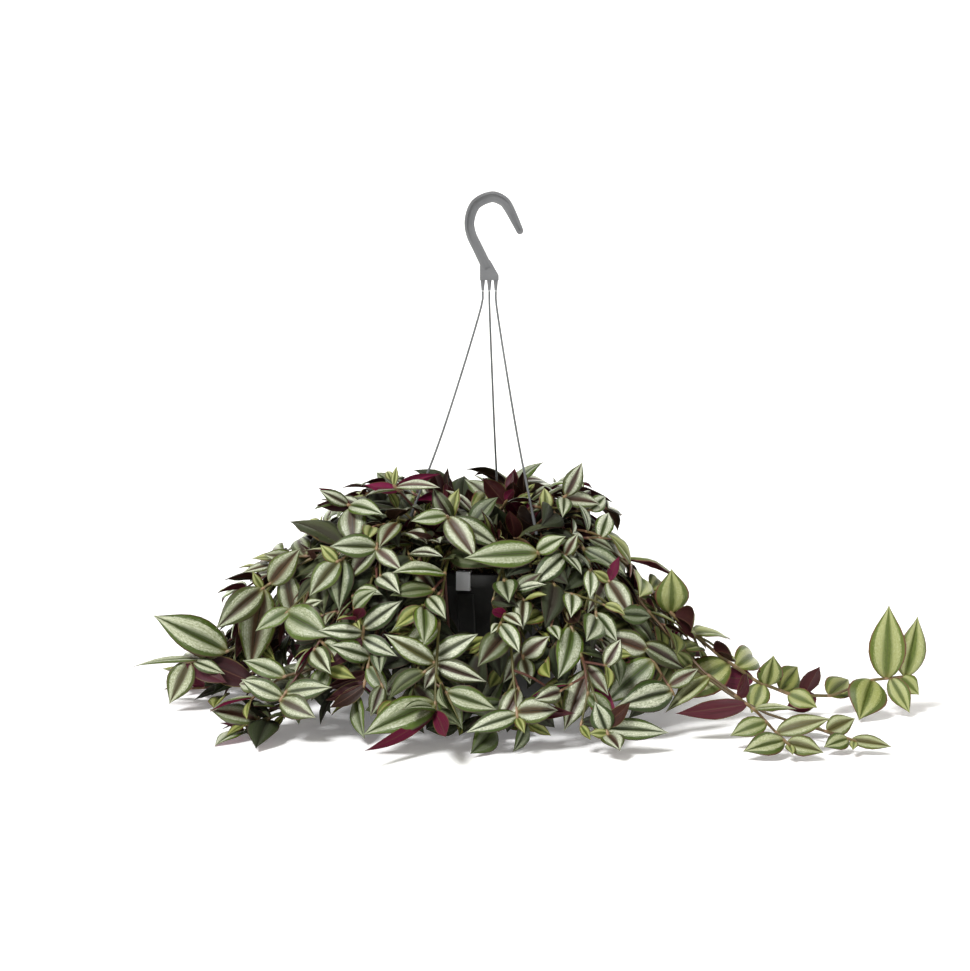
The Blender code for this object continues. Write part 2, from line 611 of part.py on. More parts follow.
def grow_leaf(stem, share, side, rng, crowd, size=1.0, yaw=50, pitch=18, young=False):
    """The first blade tried on this side of the stem that is clear of all that stands, or None."""
    low = along(stem.path, share)[0].z < 34 * MM
    length = stem.leaf_length * MM * size * rng.uniform(0.8, 1.22)
    ratio = rng.uniform(0.46, 0.6)
    bend = math.radians(rng.uniform(2, 22) if low else rng.uniform(12, 58))
    fold = rng.uniform(0.12, 0.42) + (0.25 if young else 0)
    tone = rng.random()
    for attempt in range(ATTEMPTS):
        loose = 1 + 0.08 * attempt
        shrink = 1 if attempt < 20 else 0.84 if attempt < 30 else 0.68
        axes = leaf_axes(stem, share, side,
                         math.radians(yaw + rng.gauss(0, 8) * loose),
                         math.radians(pitch + rng.gauss(0, 7) * loose + (attempt if low else 0)),
                         math.radians(rng.gauss(0, 13) * loose))
        leaf = Leaf(*axes, length * shrink, length * shrink * ratio, bend, fold, tone, young)
        shape = leaf.blade(CLEARANCE)
        if min(p.z for p in shape[0]) < FLOOR_CLEARANCE or hides_the_wall(shape[0]):
            continue
        if crowd.hits(shape, (stem.name + " body",)):
            continue
        crowd.add(shape, stem.name)
        return leaf
    return None


def pose_leaf(stem, pose, rng, crowd):
    """A leaf that points and faces a given way, eased a little aside where something is in it."""
    share, ahead, facing, length, width, bend = pose
    root = along(stem.path, share)[0]
    for attempt in range(ATTEMPTS):
        nudge = Vector([rng.gauss(0, 0.012 * attempt) for _ in range(3)])
        chord = (Vector(ahead).normalized() + nudge).normalized()
        normal = Vector(facing) + nudge
        normal = (normal - normal.dot(chord) * chord).normalized()
        half = math.radians(0.5 * bend)
        way = math.cos(half) * chord + math.sin(half) * normal
        normal = math.cos(half) * normal - math.sin(half) * chord
        scale = 1 if attempt < 24 else 0.85
        leaf = Leaf(root, way, normal, length * scale * MM, width * scale * MM,
                    math.radians(bend), 0.16, 0.35 + 0.4 * rng.random(), length < 20)
        shape = leaf.blade(CLEARANCE)
        if min(p.z for p in shape[0]) >= FLOOR_CLEARANCE and not crowd.hits(shape, (stem.name + " body",)):
            crowd.add(shape, stem.name)
            return leaf
    return None


def keep_clear_before(leaf, crowd):
    """Keeps other leaves from standing before this one, as seen from the front."""
    points, faces = leaf.blade()
    for step in range(1, VEIL_STEPS + 1):
        shift = step * VEIL_SPACING * Vector((0, -0.99, 0.1))
        crowd.add(([p + shift for p in points], faces), "view")


def leaf_stem(stem, crowd):
    """Gives a stem its leaves: alternate ones along it, then the cluster at its growing tip."""
    rng = random.Random(stem.name + " leaves")
    length = path_length(stem.path)
    count = max(2, round(length * (1 - stem.bare) / (stem.spacing * MM)) - 1)
    side = rng.choice((-1, 1))
    for k in range(count):
        share = stem.bare + (0.88 - stem.bare) * k / count
        leaf = grow_leaf(stem, share, side, rng, crowd)
        if leaf:
            stem.leaves.append(leaf)
        side = -side
    if stem.name in POSED_LEAVES:
        return
    tip = ((0.9, 0.85, 62, 20, 1), (0.945, 0.72, 52, 26, -1), (0.98, 0.45, 8, 30, 1))
    for share, size, yaw, pitch, turn in tip:
        leaf = grow_leaf(stem, share, side * turn, rng, crowd, size, yaw, pitch, young=size < 0.7)
        if leaf:
            stem.leaves.append(leaf)


def plan_plant():
    """(stems with their leaves, the crowd of all that stands)."""
    crowd = fixed_obstacles()
    stems = []
    bed = Bed()
    planned = [trailer_stem(trailer, bed) for trailer in TRAILERS]
    planned += [spray_stem(spray, bed) for spray in SPRAYS]
    planned += [tier_stem(tier, number, bed) for tier in TIERS for number in range(len(tier[1]))]
    for stem, routes in planned:
        if place_stem(stem, routes, crowd):
            stems.append(stem)
    for stem in stems:
        rng = random.Random(stem.name + " poses")
        posed = [pose_leaf(stem, pose, rng, crowd) for pose in POSED_LEAVES.get(stem.name, ())]
        stem.leaves += [leaf for leaf in posed if leaf]
    for leaf in itertools.chain(*(stem.leaves for stem in stems)):
        keep_clear_before(leaf, crowd)
    for stem in stems:
        leaf_stem(stem, crowd)
    return stems, crowd


# ------------------------------------------------------------------ the pot, the soil, the hanger

def collection(name):
    made = bpy.data.collections.new(name)
    bpy.context.scene.collection.children.link(made)
    return made


def mesh_object(name, shape, home):
    mesh = bpy.data.meshes.new(name)
    mesh.from_pydata([tuple(p) for p in shape[0]], [], shape[1])
    made = bpy.data.objects.new(name, mesh)
    home.objects.link(made)
    facing = bmesh.new()
    facing.from_mesh(mesh)
    bmesh.ops.remove_doubles(facing, verts=facing.verts, dist=1e-6)
    bmesh.ops.recalc_face_normals(facing, faces=facing.faces)
    facing.to_mesh(mesh)
    facing.free()
    return made


def cutter(name, shape):
    made = mesh_object(name, shape, CUTTERS)
    made.hide_render = True
    made.display_type = "WIRE"
    return made


def apply_boolean(target, others, operation, solver="EXACT"):
    """One Boolean with a whole collection, applied; the collection's objects go."""
    group = collection(target.name + " tools")
    for other in others:
        for home in list(other.users_collection):
            home.objects.unlink(other)
        group.objects.link(other)
    step = target.modifiers.new(operation.title(), "BOOLEAN")
    step.operation = operation
    step.operand_type = "COLLECTION"
    step.collection = group
    step.solver = solver
    bpy.ops.object.select_all(action="DESELECT")
    bpy.context.view_layer.objects.active = target
    target.select_set(True)
    bpy.ops.object.modifier_apply(modifier=step.name)
    for other in others:
        bpy.data.objects.remove(other)
    bpy.data.collections.remove(group)
    merge_flat_faces(target, 0.2 if solver == "EXACT" else 4)


def merge_flat_faces(target, limit):
    work = bmesh.new()
    work.from_mesh(target.data)
    bmesh.ops.remove_doubles(work, verts=work.verts, dist=1e-6)
    bmesh.ops.dissolve_limit(work, angle_limit=math.radians(limit), verts=work.verts, edges=work.edges)
    work.to_mesh(target.data)
    work.free()


def prism(outline, origin, right, up, depth):
    """(points, faces) of an outline in the right-up plane, `depth` thick about that plane."""
    through = right.cross(up)
    points = [origin + x * right + y * up + s * 0.5 * depth * through
              for s in (-1, 1) for x, y in outline]
    n = len(outline)
    faces = [tuple(range(n)), tuple(reversed(range(n, 2 * n)))]
    faces += [(k, (k + 1) % n, (k + 1) % n + n, k + n) for k in range(n)]
    return points, faces


def paint(target, colour, roughness):
    material = bpy.data.materials.new(target.name)
    material.use_nodes = True
    shader = material.node_tree.nodes["Principled BSDF"]
    shader.inputs["Base Color"].default_value = (*colour, 1)
    shader.inputs["Roughness"].default_value = roughness
    target.data.materials.clear()
    target.data.materials.append(material)


def wall_inside(height):
    """Radius of the inside of the pot's wall at a height."""
    share = (height - 2 * MM) / (POT_HEIGHT - 2.8 * MM)
    return FOOT_RADIUS - WALL + share * (RIM_RADIUS - 5.4 * MM - FOOT_RADIUS + WALL)


def build_pot():
    rim, neck, top = RIM_RADIUS, NECK_RADIUS, POT_HEIGHT
    skirt = top - SKIRT_DROP
    profile = ((0, 0), (FOOT_RADIUS, 0), (neck + 0.6 * MM, top - 1.8 * MM),
               (rim - 1.4 * MM, top - 1.8 * MM), (rim - 1.4 * MM, skirt), (rim, skirt),
               (rim, top - 1.2 * MM), (rim - 1.2 * MM, top), (wall_inside(top) + 0.4 * MM, top),
               (wall_inside(top - 0.8 * MM), top - 0.8 * MM), (wall_inside(2 * MM), 2 * MM), (0, 2 * MM))
    pot = mesh_object("pot", turned(profile, POT_SIDES), PLANT)
    holes = []
    for k in range(DRAIN_HOLES):
        centre = polar(30 + 360 * k / DRAIN_HOLES, DRAIN_RING, 1 * MM)
        bpy.ops.mesh.primitive_cylinder_add(vertices=10, radius=DRAIN_RADIUS, depth=6 * MM,
                                            location=centre)
        hole = bpy.context.object
        hole.hide_render = True
        hole.display_type = "WIRE"
        holes.append(hole)
    apply_boolean(pot, holes, "DIFFERENCE")
    paint(pot, (0.018, 0.019, 0.017), 0.5)
    return pot


def build_soil(stems):
    low = 2 * MM + GAP
    profile = ((0, low), (wall_inside(low) - GAP, low), (wall_inside(SOIL_TOP) - GAP, SOIL_TOP),
               (0, SOIL_TOP))
    soil = mesh_object("soil", turned(profile, POT_SIDES), PLANT)
    holes = []
    for stem in stems:
        start = stem.path[0]
        over = next(p for p in stem.path if p.z > SOIL_TOP)
        run = (over - start).normalized()
        holes.append(cutter(stem.name + "_hole", tube([start - 1.3 * MM * run, over + 3 * MM * run],
                                                      [ROOT_HOLE_RADIUS] * 2, 5)))
    apply_boolean(soil, holes, "DIFFERENCE")
    paint(soil, (0.035, 0.024, 0.017), 0.95)
    return soil


def hook_stroke(inset, depth, offset=0.0, start=0.0):
    """(points, faces) of the hook's bent bar, its edges moved in by `inset`."""
    line = smooth_path([HOOK_BASE + Vector((x * MM, offset, z * MM)) for x, z, _ in HOOK_LINE],
                       HOOK_STEPS)
    halves = [p for *_, p in HOOK_LINE]
    points, faces = [], []
    first = round(start * (HOOK_STEPS - 1))
    for i in range(first, HOOK_STEPS):
        share = i / (HOOK_STEPS - 1)
        x = share * (len(halves) - 1)
        k = min(int(x), len(halves) - 2)
        half = (halves[k] + (halves[k + 1] - halves[k]) * (x - k)) * MM - inset
        point, tangent = along(line, share)
        beside = Vector((0, 1, 0)).cross(tangent)
        for s, u in ((-1, -1), (1, -1), (1, 1), (-1, 1)):
            points.append(point + s * half * beside + Vector((0, 0.5 * depth * u, 0)))
    rows = HOOK_STEPS - first
    for row in range(rows - 1):
        for k in range(4):
            a, b = 4 * row + k, 4 * row + (k + 1) % 4
            faces.append((a, b, b + 4, a + 4))
    faces += [(3, 2, 1, 0), tuple(range(4 * rows - 4, 4 * rows))]
    return points, faces


def build_hook():
    right, depth = Vector((1, 0, 0)), HOOK_THICKNESS
    hook = mesh_object("hanger_hook", hook_stroke(0, depth), PLANT)
    block = [(x * MM, z * MM) for x, z in ((-7.7, 0), (7.7, 0), (7.7, 4), (0.6, 16.5), (-7.7, 13))]
    added = [cutter("hook_block", prism(block, HOOK_BASE, right, UP, depth))]
    bpy.ops.mesh.primitive_cylinder_add(vertices=16, radius=HOOK_LINE[-1][2] * MM, depth=depth,
                                        rotation=(math.pi / 2, 0, 0),
                                        location=HOOK_BASE + Vector((HOOK_LINE[-1][0] * MM, 0,
                                                                     HOOK_LINE[-1][1] * MM)))
    added.append(bpy.context.object)
    for k in (-1, 0, 1):
        bpy.ops.mesh.primitive_cone_add(
            vertices=10, radius1=CONE_TIP_RADIUS, radius2=CONE_TOP_RADIUS, depth=CONE_LENGTH + 1 * MM,
            location=HOOK_BASE + Vector((k * CONE_SPACING, 0, 0.5 * (1 * MM - CONE_LENGTH))))
        added.append(bpy.context.object)
    apply_boolean(hook, added, "UNION")
    recess = 0.5 * (HOOK_THICKNESS - HOOK_WEB)
    pockets = []
    for s in (-1, 1):
        pockets.append(cutter("hook_pocket", hook_stroke(HOOK_RIM_WIDTH, 2 * recess,
                                                         s * 0.5 * HOOK_THICKNESS, 0.06)))
    apply_boolean(hook, pockets, "DIFFERENCE")
    paint(hook, (0.14, 0.15, 0.155), 0.45)
    return hook


def strand_path(name):
    """From just under its cone, straight down, then out to the rim."""
    rank = list(STRAND_AZIMUTHS).index(name)
    cone = {"left": -1, "back": 0, "right": 1}[name]
    top = HOOK_BASE + Vector((cone * CONE_SPACING, 0, -CONE_LENGTH - GAP))
    end = polar(STRAND_AZIMUTHS[name], RIM_RADIUS - 2.2 * MM, POT_HEIGHT + 1.2 * MM)
    points = [top]
    for drop, run in ((0.06, 0.02), (0.29, 0.225), (0.55, 0.48), (0.78, 0.745)):
        points.append(Vector((top.x + (end.x - top.x) * run, top.y + (end.y - top.y) * run,
                              top.z + (end.z - top.z) * drop)))
    return smooth_path(points + [end], STRAND_STEPS)


def clip_shape(azimuth):
    """(points, faces) of the C-shaped clip over the rim at an azimuth."""
    out = polar(azimuth, 1, 0)
    t, r = CLIP_THICKNESS, RIM_RADIUS + GAP
    top, low = POT_HEIGHT + GAP, POT_HEIGHT - SKIRT_DROP - GAP
    outline = ((r - 6 * MM, top), (r, top), (r, low), (r - 2.2 * MM, low), (r - 2.2 * MM, low - t),
               (r + t, low - t), (r + t, top + t - 0.6 * MM), (r + t - 0.6 * MM, top + t),
               (r - 6 * MM, top + t))
    return prism(outline, Vector((0, 0, 0)), out, UP, CLIP_WIDTH)


def build_strand(name):
    path = strand_path(name)
    thick = [TAIL_RADIUS if (path[-1] - p).length < 46 * MM else STRAND_RADIUS for p in path]
    strand = mesh_object("hanger_strand_" + name, tube(path, thick, 6), PLANT)
    clip = cutter("strand_clip", clip_shape(STRAND_AZIMUTHS[name]))
    apply_boolean(strand, [clip], "UNION")
    paint(strand, (0.1, 0.11, 0.12), 0.5)
    return strand


def build_spare_clip():
    clip = mesh_object("rim_clip_front", clip_shape(SPARE_CLIP_AZIMUTH), PLANT)
    paint(clip, (0.22, 0.23, 0.24), 0.5)
    return clip


def keep_skin(target):
    """Keeps the skin with the most faces, without the small pockets where blades cross."""
    work = bmesh.new()
    work.from_mesh(target.data)
    left, skins = set(work.faces), []
    while left:
        skin = [left.pop()]
        for face in skin:
            for edge in face.edges:
                if len(edge.link_faces) == 2:
                    found = [other for other in edge.link_faces if other in left]
                    left.difference_update(found)
                    skin += found
        skins.append(skin)
    skins.sort(key=len)
    for skin in skins[:-1]:
        bmesh.ops.delete(work, geom=skin, context="FACES")
    work.to_mesh(target.data)
    work.free()


def build_stem(stem):
    """The stem and its blades as one body."""
    body = mesh_object(stem.name, stem.shape(STEM_SIDES), PLANT)
    blades = [cutter(f"{stem.name}_blade", leaf.blade())
              for leaf in stem.leaves]
    apply_boolean(body, blades, "UNION", "MANIFOLD")
    keep_skin(body)
    paint(body, (0.16, 0.2, 0.1), 0.45)
    return body


for leftover in list(bpy.data.objects):
    bpy.data.objects.remove(leftover)
PLANT = collection("potted tradescantia")
CUTTERS = collection("cutters")
build_pot()
build_hook()
for strand_name in STRAND_AZIMUTHS:
    build_strand(strand_name)
build_spare_clip()
plant_stems, _ = plan_plant()
build_soil(plant_stems)
for leafy in plant_stems:
    build_stem(leafy)
bpy.data.collections.remove(CUTTERS)
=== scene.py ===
"""The looks of the potted tradescantia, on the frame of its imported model.

Metres, +Z up. The plan of the plant repeats the model's own: the same seeds give the same
stems and leaves. Each leafy stem of the model is replaced by a finer one, with striped leaves,
jointed stems and short side shoots that fill the mound.
"""

import itertools
import math
import random

import bmesh
import bpy
import numpy as np
from mathutils import Matrix, Vector, noise
from mathutils.bvhtree import BVHTree


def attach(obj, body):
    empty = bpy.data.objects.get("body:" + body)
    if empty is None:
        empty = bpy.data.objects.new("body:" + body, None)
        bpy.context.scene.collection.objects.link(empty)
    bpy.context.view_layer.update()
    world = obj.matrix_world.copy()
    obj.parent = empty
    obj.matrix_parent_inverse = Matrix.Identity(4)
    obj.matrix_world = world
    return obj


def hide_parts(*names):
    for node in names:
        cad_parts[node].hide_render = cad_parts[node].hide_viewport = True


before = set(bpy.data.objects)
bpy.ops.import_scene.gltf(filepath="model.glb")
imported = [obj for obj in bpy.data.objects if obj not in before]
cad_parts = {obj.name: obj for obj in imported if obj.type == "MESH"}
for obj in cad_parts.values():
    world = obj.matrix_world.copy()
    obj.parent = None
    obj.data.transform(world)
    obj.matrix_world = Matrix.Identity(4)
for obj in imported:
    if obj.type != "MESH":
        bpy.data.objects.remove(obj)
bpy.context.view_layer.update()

MM = 0.001
UP = Vector((0, 0, 1))
GAP = 0.3 * MM  # between pieces that touch

# The pot: a tapered shell with a rolled rim
POT_HEIGHT = 118 * MM
RIM_RADIUS = 78 * MM
NECK_RADIUS = 73.5 * MM  # outside of the wall, just under the rim
FOOT_RADIUS = 54 * MM
WALL = 1.6 * MM
POT_FLOOR = 2 * MM
SKIRT_DROP = 11 * MM
DRAIN_HOLES = 6
DRAIN_RADIUS = 4 * MM
DRAIN_RING = 36 * MM

# The soil, and the roots in it
SOIL_TOP = 102 * MM
ROOT_END = 84 * MM  # height of the lowest end of every stem
ROOT_SPACING = 8.6 * MM

# The hanger: a moulded hook, three strands and the clips on the rim
HOOK_BASE = Vector((3.5 * MM, 0, 348 * MM))  # middle of the bar's underside
HOOK_THICKNESS = 5.2 * MM
HOOK_WEB = 2.0 * MM
HOOK_RIM_WIDTH = 2.1 * MM
HOOK_LINE = (  # middle of the bent bar (x, z) and half of its width, in mm from HOOK_BASE
    (2, 3.5, 4.35), (-3.8, 14.5, 4.35), (-9.4, 26, 4.25), (-14.6, 37, 4.2), (-16, 48.5, 4.1),
    (-11, 61.2, 4.3), (1.6, 67.2, 4.5), (11.2, 64, 4.5), (15.8, 58.2, 4.2), (20.4, 49.2, 3.6),
    (24.8, 40, 2.9))
CONE_SPACING = 5.3 * MM
CONE_LENGTH = 8.5 * MM
CONE_TOP_RADIUS = 2.05 * MM
CONE_TIP_RADIUS = 1.1 * MM
STRAND_RADIUS = 0.9 * MM
TAIL_RADIUS = 1.35 * MM
STRAND_STEPS = 16
STRAND_AZIMUTHS = {"left": 189, "right": -52, "back": 80}
STRAND_CONES = {"left": -1, "back": 0, "right": 1}  # the cone that each hangs from
CLIP_WIDTH = 11.5 * MM
CLIP_HEIGHT = 14 * MM
CLIP_THICKNESS = 1.8 * MM
SPARE_CLIP_AZIMUTH = -102.5

# The plant
STEM_RADIUS = 1.9 * MM
STEM_TIP_RADIUS = 1.25 * MM
BLADE_THICKNESS = 1.1 * MM
BLADE_STATIONS = (0.15, 0.45, 0.78)
SMALL_BLADE_STATIONS = (0.26, 0.64)
SMALL_LEAF = 34 * MM
ATTEMPTS = 40
GRID = 16 * MM
CLEARANCE = 0.45 * MM  # that a blade or stem keeps from everything else
FLOOR_CLEARANCE = 0.8 * MM
OBSTACLE_MARGIN = 1.2 * MM  # that the pot and the hanger grow by in the plan
PATH_POINTS = 9
BED_RADII = (5 * MM, 62 * MM)  # least and greatest distance of a root from the axis
BED_TURNS = range(-60, 61, 3)  # degrees and millimetres that a root may be shifted by
BED_SHIFTS = (0, -4, 4, -8, 8, -14, 14)
ROOT_LEAN = 4 * MM  # how far outward a stem leans from its root to its first free point
RISE_HEIGHT = 126 * MM  # of that point
HIGH_SPRAY = 150 * MM  # a spray above this height rises inside the mound
FAR_SPRAY = 125 * MM  # one that reaches this far hangs down from the rim
SPRAY_LEAVES = (40, 22, 0.4)  # leaf length, leaf spacing and bare share
# the cluster at a stem's tip: share of the stem, size, yaw, pitch and side of each leaf
TIP_LEAVES = ((0.9, 0.85, 62, 20, 1), (0.945, 0.72, 52, 26, -1), (0.98, 0.45, 8, 30, 1))
# the gap at the front through which the pot's wall shows, as ranges of x and of the height on
# the wall, and how much lower than a nearer point the wall behind it is, for each metre between
WALL_GAP = ((-28 * MM, 3 * MM), (76 * MM, 121 * MM))
SIGHT_SLOPE = 0.155
# copies of a posed leaf that keep other leaves from standing before it
VEIL_STEPS = 7
VEIL_SPACING = 8 * MM
VEIL_WAY = Vector((0, -0.99, 0.1))


# ------------------------------------------------------------------ the plan of the plant
# Every stem is a smooth path with leaves on alternate sides. The plan places all of them, one
# after another, and keeps each clear of the pot, the hanger, the floor and what stands already.

# Stems that fill the mound, by tiers. A profile is (distance from the axis, height) in mm in the
# stem's own upright plane. Past INNER the distances are stretched, by a tier's own factors to
# the right, back, left and front.
INNER = 40
TIERS = (
    # name, azimuths, profile, factors, leaf length, leaf spacing (mm), bare share
    ("crown", (20, 200, 300), ((7, 84), (9, 128), (22, 156), (38, 172)), (1, 1, 1, 1), 36, 16, 0.36),
    ("top", (30, 75, 120, 160, 318),
     ((19, 84), (24, 130), (42, 160), (70, 172), (98, 162), (120, 140), (136, 112)),
     (0.66, 0.9, 1.12, 0.86), 44, 21, 0.3),
    ("middle", (5, 40, 66, 94, 122, 150, 176, 352),
     ((37, 84), (46, 130), (68, 152), (102, 144), (132, 118), (154, 84), (172, 50), (190, 28)),
     (0.72, 0.85, 1.38, 0.82), 48, 25, 0.26),
    ("low", (20, 52, 80, 108, 136, 162, 186, 220),
     ((55, 84), (63, 125), (84, 134), (104, 116), (122, 78), (144, 38), (172, 15), (200, 11)),
     (1, 0.9, 1.4, 0.95), 48, 26, 0.28),
)

# Long stems that leave the mound or hang before it: (name, root azimuth, root radius,
# points, leaf length, spacing, bare share); lengths in mm
TRAILERS = (
    ("trailer_right_far", -14, 46, ((76, -18, 142), (112, -44, 124), (146, -66, 86), (194, -75, 46),
                                    (228, -70, 25), (262, -60, 15), (290, -58, 20), (316, -55, 31),
                                    (342, -50, 31)), 46, 24, 0.3),
    ("trailer_right_front", -34, 46, ((72, -46, 140), (104, -62, 116), (140, -84, 76), (170, -110, 46),
                                      (200, -142, 28), (212, -172, 18), (222, -206, 11)), 40, 22, 0.3),
    ("trailer_right_low", -24, 58, ((76, -36, 136), (106, -50, 114), (148, -78, 60), (196, -106, 24),
                                    (232, -132, 13), (258, -160, 11), (273, -192, 11)), 38, 28, 0.3),
    ("trailer_left", 184, 46, ((-82, -8, 142), (-120, -18, 133), (-152, -28, 102), (-184, -34, 62),
                               (-212, -38, 43), (-243, -45, 38)), 48, 27, 0.3),
    ("shoulder_left", 206, 58, ((-76, -36, 138), (-110, -46, 137), (-146, -52, 123),
                                (-180, -50, 101)), 46, 26, 0.3),
    ("spray_centre_left", 238, 57, ((-43, -66, 140), (-52, -84, 131), (-55, -104, 104), (-50, -126, 80),
                                    (-36, -152, 58)), 36, 22, 0.4),
    ("front_centre", 246, 61, ((-30, -70, 139), (-32, -86, 128), (-30, -95, 100), (-28, -99, 74),
                               (-24, -103, 52), (-14, -112, 32), (-2, -128, 14), (8, -146, 9)),
     38, 18, 0.6),
)

# Sprays: stems that end in leaves which spread from one point: (name, the point in mm)
SPRAYS = (
    ("spray_front_right", (91, -192, 14)), ("spray_front_middle", (24, -184, 25)),
    ("spray_front_left", (-37, -180, 28)), ("spray_left_low", (-156, -146, 30)),
    ("spray_low_left", (-92, -142, 40)),
    ("spray_side_right", (145, -131, 32)), ("spray_right_low", (78, -150, 52)),
    ("spray_centre_right", (29, -148, 63)),
    ("spray_left_middle", (-93, -136, 76)), ("spray_right_large", (85, -126, 88)),
    ("spray_left_green", (-157, -100, 88)), ("spray_right_middle", (97, -95, 114)),
    ("spray_left_pair", (-116, -96, 130)), ("spray_right_pair", (63, -102, 136)),
    ("spray_front_broad", (42, -110, 138)), ("spray_left_dark", (-84, -100, 140)),
    ("spray_front_top", (-30, -90, 166)), ("spray_left_high", (-112, -30, 168)),
    ("spray_top_right", (65, -52, 178)), ("spray_top_left", (-74, -39, 185)),
)

